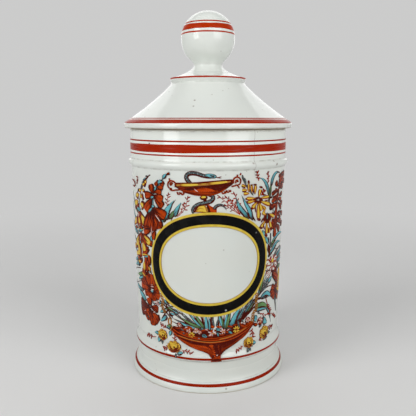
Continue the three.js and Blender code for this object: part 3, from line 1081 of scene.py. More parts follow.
def lay_serpent_cup(p):
    """The cup with its foot, rim and handles, and the serpent round it."""
    coils = [
        ([(-10.6, 143.6), (-12.2, 145.2), (-13.8, 147.4), (-13.4, 149.6), (-10.9, 150.8), (-7.2, 150.6),
         (-3.8, 149.5), (-0.4, 148.7), (2.6, 148.4)], 2.1, (0.1, 0.2)),
        ([(0.4, 137.2), (2.7, 136.2), (3.1, 134.4), (1.6, 132.7), (-1.6, 131.6), (-5.4, 130.9), (-8.4, 129.3),
         (-10, 127), (-9.6, 124.6)], 2.1, LINE),
        ([(3.9, 127.4), (4.9, 129.2), (7.1, 130.2), (9.4, 129.9), (10.9, 128.4), (11.8, 126.8)], 1.5, (0.1, 0.7))]
    # Stem and foot, and the serpent in front of them.
    p.fill("maroon", [(-3.4, 134), (-2.6, 131.6), (-1.9, 129.6)], [(-1, 134), (-0.4, 131.6), (0.8, 129.4)], 0.7, 3)
    p.fill("brick", [(-0.8, 125), (2.2, 125), (5.6, 125)], [(-0.8, 131), (1.8, 129.4), (5.6, 127.4)], 0.75, 4)
    p.fill("maroon", [(-0.8, 125), (0.6, 125), (1.8, 125)], [(-0.8, 131), (0.1, 129.6), (0.9, 128.4)], 0.5, 4)
    p.fill("maroon", [(-9.4, 125), (-8.4, 125), (-6.2, 125)], [(-8.4, 127), (-7.4, 128.2), (-5.2, 129.8)], 0.75, 3)
    p.fill("yellow", [(-8.1, 125), (-4.4, 125), (-0.4, 125)], [(-7.8, 126.6), (-3.4, 131.4), (-0.6, 127.2)], 0.75, 4)
    p.stroke("brick", [(-7.2, 126.9), (-5, 127.7), (-2.4, 127.4)], 0.4, LINE, 0.2)
    p.stroke("ochre", [(-0.4, 125.4), (-1, 127.6), (-2.4, 130)], 1.2, LINE, 0.6)
    for points, width, shape in coils:
        p.stroke("maroon", [(a + 0.1, b - 0.3) for a, b in points], width + 0.9, shape, 0.7)
    for points, width, shape in coils:
        p.stroke("slate", points, width, shape, 0.5, 4)
    p.stroke("maroon", [(-2.4, 149.2), (1.6, 148.9), (5.4, 148.3)], 3, (0.4, 0.35), 0.3)
    p.stroke("turquoise", [(-2.2, 149.2), (1.4, 149), (5, 148.4)], 2.4, (0.4, 0.4), 0.75)
    p.marks("slate", BUD, [
        (-1.6, 149.4, 0.2, 148.4, 0.6, 0.5), (3, 149.3, 4.6, 148.6, 0.6, 0.5), (0.4, 148, 3.4, 147.8, 0.6, 0.5)])
    p.dab("maroon", (1.9, 149.1), 1, 0.8, 0, 0)
    p.strokes("maroon", [
        ([(1, 149.1), (2.5, 148.9), (3.9, 148.2)], 0.9, BUD, 0.1),
        ([(-2.2, 148.6), (-0.6, 148.2), (1, 148.2)], 0.55, LINE, 0.2)])
    p.strokes("line_red", [
        ([(5, 148.1), (6.8, 147.6), (8.4, 147.5)], 0.55, LINE, 0.3),
        ([(6.2, 147.8), (7.4, 148.2), (8.5, 148.5)], 0.45, LINE, 0.3)])
    # The bowl of the cup: dark sides, bright middle.
    under = [(-21.5, 141.4), (-16, 138.4), (-9, 136.3), (-3, 135.8), (3.5, 136.4), (9, 138.6), (15.8, 143.2)]
    over = [(-21.5, 142), (-14, 142.2), (-7, 142.6), (-2, 143.1), (4, 143.7), (10, 144.1), (16.2, 144.4)]
    p.fill("maroon", under, over, 0.75)
    p.fill("brick", [(-18.6, 139.5), (-12.6, 137.1), (-4, 135.9), (2.4, 136.3), (7, 138.2)],
           [(-18, 140.4), (-12.4, 139.4), (-6, 140.6), (-1, 141), (6.2, 139.6)], 0.4)
    p.dabs("brick", [((-2.6, 138.7), 13.6, 5.6, 3, 0.7), ((-1.6, 139), 10.4, 4.4, 4, 1.15)])
    p.stroke("blush", [(-8.9, 140.8), (-7.8, 139.6), (-6.3, 138.7)], 0.75, BUD, 0.15, 4)
    p.stroke("maroon", [(-15.6, 141), (-10.8, 140.2), (-7.6, 141.9)], 0.9, BLADE, 0.2)
    p.strokes("brick", [
        ([(3.4, 136.9), (7.6, 138.4), (11.6, 140.9)], 0.7, LEAF, 0.6),
        ([(-20.4, 141.6), (-16, 140.9), (-11.6, 141.2)], 0.6, LEAF, 0.5)])
    # The rim, yellow between dark red lines.
    p.stroke("brick", [(-21.8, 142.3), (-10, 142.9), (3, 144.1), (16.4, 145.4)], 3.5, (0.16, 0.2), 0.2)
    p.stroke("maroon", [(-21.6, 141.6), (-10, 141.9), (3, 143), (15, 144.1)], 0.9, LINE, 0.5)
    p.stroke("ochre", [(-20.4, 142.5), (-4, 143.3), (14.4, 145.1)], 1.5, LINE, 0.6)
    p.strokes("yellow", [
        ([(-18.2, 142.7), (-12, 142.9), (-6.3, 143.3)], 1.8, LINE, 0.85),
        ([(-5, 143.6), (-3.2, 143.7), (-1.2, 143.9)], 0.6, LINE, 0.4),
        ([(0.2, 143.9), (6, 144.4), (12.2, 145)], 1.8, LINE, 0.85),
        ([(-18, 142.9), (-13, 143), (-8.6, 143.3)], 0.7, LINE, 1.2),
        ([(1.6, 144.2), (6, 144.6), (11.2, 145)], 0.7, LINE, 1.2)])
    p.stroke("line_red", [(-20.8, 143.9), (-9, 144.3), (3, 145.3), (16.8, 146.4)], 0.7, LINE, 0.15)
    # Scrolled handles.
    for points in (
            [(-20.6, 143), (-22, 144.6), (-24.2, 145.3), (-26.2, 144.2), (-26.7, 142.2), (-25.8, 140.4),
             (-23.8, 140.2)], [(-22.9, 143.4), (-24.2, 144), (-25.2, 143), (-24.4, 142)],
            [(-25, 145), (-25.6, 146.8)], [(-25.4, 139.6), (-23.6, 138.9), (-21.2, 139.3), (-18.4, 139.5)],
            [(16.4, 143.8), (16.1, 145.8), (17.1, 147.4), (19, 147.8), (20.8, 146.7), (21.2, 144.6), (20.2, 142.9),
             (18.2, 142.7)], [(17.8, 143.8), (18, 145.6), (19.3, 146)], [(18.6, 147.6), (18.9, 149.5)],
            [(20.8, 149), (21.2, 150.4)], [(15, 141.9), (17.2, 142.2), (18.6, 142.8), (19.8, 141.4), (20.4, 140.4)]):
        p.stroke("brick", points, 1.05, (0.06, 0.12), 0.35)
    for s, z, size in ((-24.4, 139.7, 1.5), (-24, 142.7, 1.3), (19.2, 145.1, 1.4)):
        p.dab("brick", (s, z), size, size * 0.8, 20, 0.3)
    for s, z in ((-18.9, 137.4), (-16.4, 137.3), (9.8, 138.2), (12.9, 139)):
        p.stroke("brick", [(s - 0.9, z + 0.5), (s - 0.7, z - 0.6), (s + 0.4, z - 0.8), (s + 0.9, z + 0.1),
            (s + 0.2, z + 0.6)], 1, (0.06, 0.12), 0.35)
    for a, b in (
            ((-20.2, 138.2), (-19.4, 136.2)), ((-16.2, 138.6), (-14.8, 137.4)), ((11.2, 137.2), (11.6, 139.6)),
            ((14.6, 138.2), (14.2, 139.8))):
        p.stroke("brick", [a, b], 1.1, BUD, 0.35)
    # Knop.
    p.dab("maroon", (-2.7, 134.8), 5, 3.2, 3, 0.8)
    p.dab("yellow", (-2.9, 135.2), 3.3, 1.7, 5, 0.9)


class ALBARELLO_OT_serpent_cup(bpy.types.Operator):
    """Paints the pharmacist's cup with the serpent round it"""

    bl_idname = "albarello.serpent_cup"
    bl_label = "Serpent and cup"

    def execute(self, context):
        return painted(context, "cup", lay_serpent_cup)


def lay_left_spray(p):
    """The red and the yellow flower spikes left of the oval."""
    # Blades that reach round the side.
    p.marks("turquoise", BLADE, [
        (-58, 86, -80, 81, 2.6, 0.45, -1), (-60, 82.6, -82, 76.6, 1.9, 0.7, -0.8), (-59, 89, -77, 95, 2.4, 0.5, 1.2),
        (-62, 112, -75, 126, 2.2, 0.5, 1.6), (-61, 105, -79, 112, 2.6, 0.4, 1.6)])
    p.marks("green", BLADE, [(-59, 98, -76, 102, 2.3, 0.5, 1.4), (-60, 120, -71, 134, 2, 0.5, 1.4)])
    p.strokes("maroon", [
        ([(-60, 79.6), (-70, 77.4), (-80, 74)], 0.7, LINE, 0.4),
        ([(-59, 70.4), (-68, 67.2), (-79, 63.6)], 0.7, LINE, 0.6)])
    # Stems.
    p.stroke("slate", [(-45, 145.8), (-49, 142.6), (-52.4, 138), (-55, 132), (-57.2, 126), (-57.4, 118), (-56.6, 106),
        (-57, 96)], 1, (0.35, 0.2), 0.5, 4)
    p.marks("maroon", LEAF, [
        (-46.6, 144, -42, 147.9, 1.3, 0.7, 0.3), (-46, 145.6, -50.6, 140.2, 3.2, 0.3),
        (-50.4, 141, -53.6, 136.8, 2.6, 0.3), (-56, 137.6, -59.6, 134, 1.2, 0.6)])
    p.marks("slate", LEAF, [
        (-46.8, 146.6, -44, 147.2, 1.2, 0.6), (-48.6, 145.2, -46.4, 144.2, 1.5, 0.6),
        (-50, 143.6, -47.6, 144.4, 1.5, 0.4), (-51.4, 142, -49.4, 142, 1.7, 0.6),
        (-52.6, 139.4, -50.6, 140.4, 1.7, 0.5), (-53.8, 137.4, -52, 138.4, 1.5, 0.6)])
    p.marks("turquoise", LEAF, [(-48.8, 144.4, -46.6, 145.4, 0.8, 0.7), (-51.2, 141, -50.2, 142.4, 0.9, 0.6)])
    p.stroke("turquoise", [(-28, 149), (-32, 144.5), (-36.6, 139.2), (-39.4, 133.6), (-39.8, 127), (-41.2, 118)],
        0.9, LINE, 0.4, 4)
    # Yellow spike: small tubes at the tip, open flowers below.
    p.marks("maroon", PETAL, [
        (-45.4, 143.6, -48.6, 139.4, 2, 0.6), (-44, 147, -41.4, 148, 0.9, 0.8), (-50.6, 136, -47.8, 136.2, 2, 0.8),
        (-53.6, 135.2, -58.2, 136.4, 1.8, 0.8), (-52, 135, -50.4, 130, 2.6, 0.7), (-57, 131, -63, 132, 2.6, 0.8),
        (-50.5, 129.5, -52.5, 126.5, 4.2, 0.7), (-58.5, 128, -66, 122.4, 3.4, 0.75)])
    p.marks("yellow", PETAL, [
        (-45.4, 143.8, -47.6, 142.4, 1.7, 0.8), (-47.6, 142, -50.4, 140.6, 1.7, 0.8),
        (-48.6, 137.6, -51.2, 136.4, 1.6, 0.8), (-52.6, 136.8, -55.6, 136.2, 1.9, 0.75),
        (-53.8, 134.4, -53.2, 131.4, 1.8, 0.8), (-56.6, 133.6, -61.6, 131.6, 3.4, 0.75),
        (-58.6, 128.6, -64.8, 125.4, 4.6, 0.7), (-55.4, 127, -50.8, 125.6, 3.4, 0.85, 0.4)])
    p.marks("petal", LEAF, [
        (-51.6, 134.6, -51.2, 130.6, 1.5, 0.9), (-53.8, 123.2, -50.2, 125, 1.1, 0.6),
        (-49.4, 129, -50.6, 126, 1.5, 0.8), (-57.4, 130, -62.2, 131.2, 1, 0.6),
        (-61.2, 125.2, -65.6, 121.4, 1.7, 0.4), (-57, 126.6, -60.6, 124.2, 1.6, 0.6)])
    # First bell: brown-red cone with yellow lips.
    p.fill("brick", [(-57.4, 122), (-60.2, 119), (-63.8, 114)], [(-56.6, 122), (-52.8, 119.4), (-47.4, 116.4)], 0.42)
    p.marks("brick", PETAL, [(-57.2, 121.4, -60.4, 111.6, 5, 0.55), (-56.8, 121.6, -54.2, 111.4, 5, 0.4)])
    p.marks("blush", BUD, [(-58, 120.4, -59.2, 117, 1.6, 0.05), (-61.4, 113.6, -61, 109, 1.2, 0.8)])
    p.marks("yellow", PETAL, [
        (-54.2, 119.4, -49.4, 112.8, 6, 1), (-58.6, 117.6, -57.6, 112.6, 3.2, 0.8),
        (-62.6, 116.6, -66.6, 112, 4, 0.7), (-65, 113, -70, 110.6, 2.2, 0.3)])
    p.marks("petal", LEAF, [
        (-52, 110.4, -59.6, 110.6, 2, 0.35, 0.3), (-55, 116.8, -55.4, 112, 1.4, 0.3),
        (-61.6, 109.8, -68.6, 108.4, 1.9, 0.5, 0.3), (-63.2, 117, -60.6, 110.8, 1.2, 0.4)])
    p.stroke("maroon", [(-56.2, 122), (-52.2, 119.6), (-47, 116.6)], 0.6, LINE, 0.7)
    p.stroke("yellow", [(-60.6, 109.2), (-56.6, 108.6), (-52.6, 109)], 0.8, LINE, 0.6)
    p.marks("turquoise", LEAF, [
        (-60.4, 122.2, -55, 123.4, 1.9, 0.5, 0.3), (-58.4, 123, -55.6, 121.6, 1.8, 0.6),
        (-60.6, 107.2, -53, 108.2, 1.7, 0.5, 0.3), (-57.6, 107.4, -55.2, 105.4, 1.4, 0.35)])
    # Second bell.
    p.fill("brick", [(-57, 106.4), (-60.4, 102.4), (-63.4, 97)], [(-55.6, 106.4), (-50.4, 105), (-43, 101.6)], 0.45)
    p.marks("petal", PETAL, [
        (-55.4, 106.4, -45, 103, 2.6, 0.3), (-54.6, 105.6, -50.4, 99, 4.6, 0.35), (-58, 105.4, -63.4, 99.2, 3.2, 0.5),
        (-47.4, 101.6, -42, 100.6, 4.6, 0.65), (-45.4, 96, -53.2, 92.2, 4, 0.45), (-49, 100.4, -50.4, 96.8, 2, 0.3),
        (-57.8, 98, -57.6, 88.4, 2.4, 0.75)])
    p.marks("blush", BUD, [(-57, 104.2, -57.2, 99.8, 1.3, 0.9), (-54.6, 96, -55.2, 90.4, 1.1, 0.8)])
    p.marks("yellow", PETAL, [
        (-51.6, 105, -44.4, 100.4, 4.6, 0.85), (-53.4, 100.4, -51.4, 94, 4.8, 0.8),
        (-59.4, 103.2, -64.8, 95.6, 5.4, 0.75), (-60.2, 98.4, -60.6, 89.6, 4.2, 0.8),
        (-66.4, 96.6, -71.4, 93.2, 3, 0.5), (-45.2, 91.8, -55, 90.8, 1.1, 0.8, -0.3),
        (-58.4, 91.4, -66.6, 89.2, 3, 0.7)])
    p.marks("petal", LEAF, [
        (-59, 88.2, -64, 86, 2.4, 0.8), (-55.8, 88, -59, 83.6, 2.4, 0.3), (-62.6, 95.6, -68.6, 93.2, 1.8, 0.4),
        (-57.6, 103.6, -58.4, 92.6, 0.9, 0.5), (-59.6, 102.6, -63.2, 97.6, 0.7, 0.5),
        (-51.4, 103.8, -46.8, 101.4, 0.7, 0.4), (-46.4, 97.6, -49.8, 95.8, 1.6, 0.5)])
    p.marks("yellow", LEAF, [(-57.4, 85, -63, 84.8, 2, 0.5, 0.3)])
    p.marks("turquoise", LEAF, [
        (-57.4, 100.2, -56.4, 98.4, 1.6, 0.6), (-52.6, 89, -46, 91, 1.7, 0.35, 0.3),
        (-46.8, 82, -44.4, 79.6, 1.5, 0.6), (-66, 85, -61.8, 80.6, 2.6, 0.4)])
    # Closed flower beside the oval.
    p.marks("petal", PETAL, [
        (-51.4, 79.4, -49.6, 89.6, 4, 0.35), (-49.4, 77.4, -47.8, 87.4, 3.2, 0.55), (-45, 84.8, -46.2, 91.4, 3, 0.7),
        (-49.6, 77, -56, 79.6, 3.4, 0.5)])
    p.marks("yellow", LEAF, [
        (-52.6, 79.4, -52.4, 86.4, 3.4, 0.8), (-47.2, 83.6, -44.8, 80.8, 1.8, 0.7),
        (-56.6, 77.4, -51, 75.4, 1.2, 0.8)])
    p.stroke("maroon", [(-48.4, 85.8), (-46.4, 82.8), (-44, 79)], 0.5, LINE, 0.7)
    # Red spike: buds, then open flowers.
    p.marks("petal", PETAL, [
        (-27.6, 149.2, -25.2, 150.2, 1.2, 0.3), (-31, 145.4, -30.2, 142.4, 1.8, 0.3),
        (-34.6, 145.2, -37, 141.4, 2.5, 0.5, 0.4), (-33, 142.8, -30, 141.8, 1.4, 0.6),
        (-35.6, 140, -30.6, 140.2, 2.8, 0.7, 0.3), (-38, 135.8, -41.4, 141.8, 4.8, 0.55, 0.5),
        (-38.4, 136.8, -32, 137, 3.4, 0.6, 0.5), (-38.4, 134.6, -47.6, 134, 5, 0.6),
        (-38, 134.8, -31, 132.6, 4.8, 0.6), (-38.4, 133.8, -31.2, 127.6, 5.4, 0.5),
        (-40.4, 132.2, -48, 123.4, 6.6, 0.6), (-40, 126, -29.6, 121, 5.6, 0.55, 0.6)])
    p.marks("maroon", BLADE, [
        (-38.6, 134.4, -33.4, 129.4, 1.1, 0.5), (-46.6, 135.4, -46.8, 131.8, 0.9, 0.4),
        (-40.2, 131.4, -44.8, 126.4, 1, 0.6), (-39, 134.9, -34.4, 134, 0.8, 0.7), (-39, 136.4, -40, 139.4, 1, 0.5),
        (-40.6, 125.6, -34, 123.4, 1, 0.6)])
    # Large open flower beside the oval.
    p.marks("petal", PETAL, [
        (-40.6, 124.6, -41.4, 110, 8, 0.2), (-40, 124.6, -35.6, 112, 9, 0.4, 0.4),
        (-41.2, 124.8, -48.4, 109.6, 7.6, 0.4, -0.5), (-38, 125, -29.2, 121, 6.8, 0.7, 0.3)])
    p.marks("petal", PETAL, [
        (-43, 109.8, -50.8, 107.6, 4, 0.9), (-38.6, 111, -40.8, 104.2, 3.4, 0.7),
        (-44.6, 112.6, -50.4, 110.8, 2.6, 0.3)])
    p.marks("maroon", BLADE, [
        (-43, 111.6, -48.8, 110.6, 1.4, 0.3, 0.3), (-40.8, 124, -44.6, 111.6, 1.5, 0.4),
        (-40.3, 124, -38.4, 111.8, 1.4, 0.5), (-39.6, 124.2, -35.4, 116.6, 1.1, 0.4, 0.3),
        (-38, 124.4, -32.4, 121.8, 1, 0.5), (-41.4, 124.2, -46.8, 113.2, 0.9, 0.5),
        (-36.2, 119.8, -33.4, 113, 1.2, 0.5)])
    p.marks("petal", LEAF, [(-42, 118.6, -44.2, 111.4, 1.7, 1.1), (-38.6, 119.4, -36.2, 113.4, 2, 1.1)])
    p.strokes("blush", [
        ([(-41.6, 113.4), (-42, 109), (-42.4, 104.6)], 0.9, BUD, 0.1),
        ([(-38, 121.8), (-35.6, 119.6), (-33.4, 117.2)], 0.9, BUD, 0.7)])
    p.marks("turquoise", LEAF, [
        (-30.4, 146.6, -27.6, 149.6, 1.9, 0.6), (-33.8, 142.6, -32.4, 145.6, 2.2, 0.55),
        (-33.6, 144.2, -30.6, 144.2, 1.6, 0.6), (-37.4, 137.8, -35.8, 141, 1.6, 0.45),
        (-41.4, 132.6, -38.4, 133.6, 1.7, 0.6), (-40.8, 126.6, -38, 127.4, 1.9, 0.65),
        (-44.4, 122.2, -40.2, 126, 1.8, 0.5), (-42.6, 106.4, -42.2, 102.6, 1.5, 0.7)])
    # Faint tendrils near the edge of the view.
    p.stroke("line_red", [(-69, 142.6), (-65, 142), (-62.4, 140.4), (-63.4, 138), (-67.4, 138.6)], 0.6, LINE, 0.5)
    p.marks("line_red", LINE, [
        (-58.8, 145.6, -56.2, 145, 0.6, 0.5), (-58.6, 142.6, -56.4, 143.4, 0.6, 0.5),
        (-58.4, 140.4, -57.6, 144.4, 0.5, 0.6)])


class ALBARELLO_OT_left_spray(bpy.types.Operator):
    """Paints the red and the yellow flower spikes left of the oval"""

    bl_idname = "albarello.left_spray"
    bl_label = "Left spray"

    def execute(self, context):
        return painted(context, "left_spray", lay_left_spray)


def lay_left_flowers(p):
    """The two full red flowers low on the left, their leaves, twigs and roses."""
    p.marks("green", LEAF, [(-54.4, 77.4, -67, 73.8, 2.6, 0.6, 0.5), (-31.4, 57.4, -24.4, 56.2, 2.8, 0.7, -0.3)])
    p.marks("turquoise", LEAF, [
        (-55.4, 74.6, -65.4, 70.8, 2.4, 0.55, 0.4), (-52.4, 57.4, -65, 61.6, 4.2, 0.6, -0.6),
        (-56, 64, -76, 66.6, 2.4, 0.4, 1.2), (-28.8, 60.2, -33.4, 62.6, 2.2, 0.6),
        (-25.8, 56.8, -20.6, 54.4, 2.4, 0.7), (-31.8, 55.6, -36.6, 52.8, 2.2, 0.5),
        (-30.6, 51.8, -36.2, 46.4, 2.6, 0.6, 0.3), (-28.8, 53, -23.6, 53.8, 1.6, 0.75),
        (-34.4, 60.6, -38.4, 58.8, 1.3, 0.4), (-44.4, 59, -41.6, 57.2, 1.2, 0.5)])
    p.marks("maroon", LEAF, [
        (-56, 73.4, -66, 69.6, 0.6, 0.6, 0.4), (-32, 52.6, -35.4, 48.4, 0.9, 0.5), (-30, 50.6, -31.6, 47.4, 1.4, 0.7),
        (-33.4, 54.4, -31, 50, 1, 0.7), (-36.8, 59.6, -42.4, 57.2, 0.6, 0.6), (-30.4, 60, -26.4, 58.2, 1, 0.6)])
    p.marks("blush", LEAF, [(-38, 60, -43.6, 58.4, 1.5, 0.8), (-36.8, 58.6, -41.2, 57.6, 0.9, 0.7)])
    # Upper flower.
    p.marks("petal", PETAL, [
        (-43.6, 68.2, -38.4, 73.6, 6.4, 0.5), (-44, 68, -50.8, 78.4, 6.6, 0.45), (-44.6, 68, -45.4, 78.6, 7.4, 0.55),
        (-45.6, 68.6, -55.6, 74, 7.4, 0.3, 0.6), (-45.4, 67.4, -59.4, 68.6, 7.6, 0.45, -0.6),
        (-43.4, 68.6, -41, 76.4, 5.4, 0.5), (-45.6, 66, -54, 63.4, 5.4, 0.4), (-43, 66.8, -37, 68.4, 5.4, 0.5),
        (-44.6, 65.2, -48.6, 60.6, 6.2, 0.65), (-43.6, 65.4, -42, 59.8, 5.4, 0.5), (-42.6, 66, -36.8, 63, 5.4, 0.6)])
    p.marks("maroon", BLADE, [
        (-46.4, 68, -55.4, 71, 1.3, 0.4), (-45.8, 67, -52.6, 65.8, 1, 0.6), (-44.4, 64.8, -45, 61.4, 0.9, 0.5),
        (-42.2, 67.2, -38.4, 66, 1.1, 0.5), (-44.8, 69, -46.4, 74, 0.9, 0.6), (-43.2, 65, -39.8, 62.4, 0.9, 0.6)])
    p.marks("petal", LEAF, [
        (-47, 69.6, -50.6, 75, 2, 1), (-42.8, 70.4, -42, 75.4, 1.8, 1.1), (-48.4, 66.6, -54.4, 67.4, 1.8, 1)])
    p.dab("maroon", (-43.2, 65.6), 3.4, 3, 20, 0.3)
    p.dab("turquoise", (-44.2, 66.2), 2.4, 1.5, 20, 0.75)
    p.marks("blush", LINE, [(-45.8, 69.4, -42.2, 69.8, 0.7, 0.4), (-45.4, 70.6, -43.4, 71, 0.5, 0.3)])
    # Lower flower.
    p.marks("petal", PETAL, [
        (-46.4, 52.6, -49.6, 44, 7, 0.4), (-46, 51.6, -46, 43.4, 6.4, 0.35),
        (-47.6, 53.4, -61.6, 54.8, 7.4, 0.1, 0.8), (-47, 54, -48.6, 60.4, 6.4, 0.6),
        (-46, 53.6, -38.4, 54, 5.2, 0.3, 0.6), (-49.4, 51.6, -61, 47.6, 7, 0.15, -0.5),
        (-47.4, 52.4, -53.4, 44.6, 7, 0.35), (-47.8, 52.8, -51.4, 48.4, 5.6, 0.85),
        (-45.6, 52, -38.4, 45, 7.4, 0.4, -0.6), (-45.6, 50.4, -44, 41.2, 6.4, 0.5)])
    p.marks("maroon", BLADE, [
        (-46.8, 53.2, -58.4, 52, 1.2, 0.5, 0.4), (-46.6, 52, -50.6, 45, 1.3, 0.4), (-45.6, 52, -41.2, 45.4, 1.4, 0.4),
        (-45, 50, -44, 43.4, 1.1, 0.5), (-47.4, 54.4, -50.4, 57.6, 1.1, 0.5), (-45.4, 54.4, -40.4, 55.2, 1, 0.4),
        (-38, 50.6, -38.6, 44.4, 1.3, 0.6, 0.4), (-52.4, 47.4, -49.6, 44.6, 2.2, 0.3)])
    p.marks("petal", LEAF, [
        (-48.6, 51.8, -53, 49.6, 2.6, 1.2), (-44.6, 50.4, -41, 46, 2.2, 1), (-47.6, 49, -48.6, 45.6, 1.6, 1)])
    p.dab("maroon", (-46.4, 54.6), 4.4, 2.4, 10, 0.4)
    p.marks("slate", BUD, [(-50.8, 45.6, -48.8, 46.8, 1.2, 0.5), (-48.4, 54.4, -45.6, 55, 0.9, 0.5)])
    p.marks("blush", BUD, [(-55.6, 48.6, -53.4, 50, 0.6, 0.3), (-43.4, 51, -41.6, 51.8, 0.9, 0.8)])
    # Twigs and small leaves below the oval.
    for points in (
            [(-36.6, 61.6), (-31, 57.8), (-24, 54.6), (-19, 52.2)], [(-35, 56.4), (-30.4, 53.4), (-26.4, 49.8)],
            [(-33.8, 62.8), (-30.6, 59), (-28.4, 54.8), (-27.6, 51.4)], [(-26.4, 57.6), (-22, 55.6), (-17.4, 54.6)]):
        p.stroke("maroon", points, 0.7, LINE, 0.5)
    p.marks("maroon", LEAF, [
        (-33.6, 58.8, -36.8, 56.8, 1.1, 0.6), (-29.6, 55.4, -31.8, 52.6, 1.3, 0.4),
        (-27.4, 53.6, -25.4, 50.8, 1.2, 0.5), (-24.6, 55.4, -22.4, 52.8, 1.2, 0.5),
        (-30.8, 61.6, -27.4, 60.4, 1.2, 0.5)])
    p.marks("slate", LEAF, [
        (-32, 59.4, -35, 60.8, 1.1, 0.6), (-27.6, 58.6, -24.4, 59, 1.2, 0.6), (-24, 53.8, -20.6, 54.6, 1.1, 0.5),
        (-31, 57.2, -32.6, 55, 1, 0.6)])
    # Little gold chain.
    p.chain([(-35.4, 65.6), (-33.4, 61.4), (-34.4, 57.6), (-32.4, 54.4)], 1.2)
    p.ring("ochre", (-28, 47.8), (1.7, 3), (0.8, 2), 0.5, 2, 24, 2)
    p.chain([(-27.4, 44.4), (-26.6, 42.4)], 1.2)
    p.marks("turquoise", LEAF, [(-27.4, 44.6, -31, 42.8, 2.6, 0.4), (-27.2, 41.4, -28.4, 37.4, 2, 0.75)])
    p.marks("green", LEAF, [(-26.8, 45, -30, 44.2, 1.8, 0.7)])
    p.marks("maroon", LEAF, [(-30.6, 43.4, -28, 41.6, 0.8, 0.4)])
    # Sprigs and loose roses.
    p.sprigs([
        ([(-31, 42.4), (-33.4, 43.2), (-36, 43.8)], 1.3, 3), ([(-41.4, 33.4), (-46, 32.2), (-52, 31.8)], 1.5, 4),
        ([(-29.6, 29.4), (-31.4, 28), (-33, 27.2)], 1.3, 3), ([(-24.2, 34), (-24.4, 36.8), (-23.4, 39)], 1.6, 3),
        ([(-18.4, 28.6), (-14.6, 28.2), (-11.4, 27.4)], 1.3, 4)])
    p.marks("turquoise", LEAF, [
        (-37.6, 37, -42.4, 37, 2, 0.55), (-37.2, 34.8, -38.8, 30.6, 2.6, 0.7), (-21.8, 26, -17.6, 27.2, 1.8, 0.55)])
    p.marks("slate", LEAF, [(-35.4, 33.6, -34.8, 29.8, 1.8, 0.4), (-22.8, 26.2, -22.4, 23, 1.4, 0.6)])
    p.rose((-34.6, 36.8), 3.9, 40)
    p.rose((-24.8, 30.2), 3.9, 10, 1.3)


class ALBARELLO_OT_left_flowers(bpy.types.Operator):
    """Paints the two full red flowers low on the left, with their leaves"""

    bl_idname = "albarello.left_flowers"
    bl_label = "Left flowers"

    def execute(self, context):
        return painted(context, "left_flowers", lay_left_flowers)


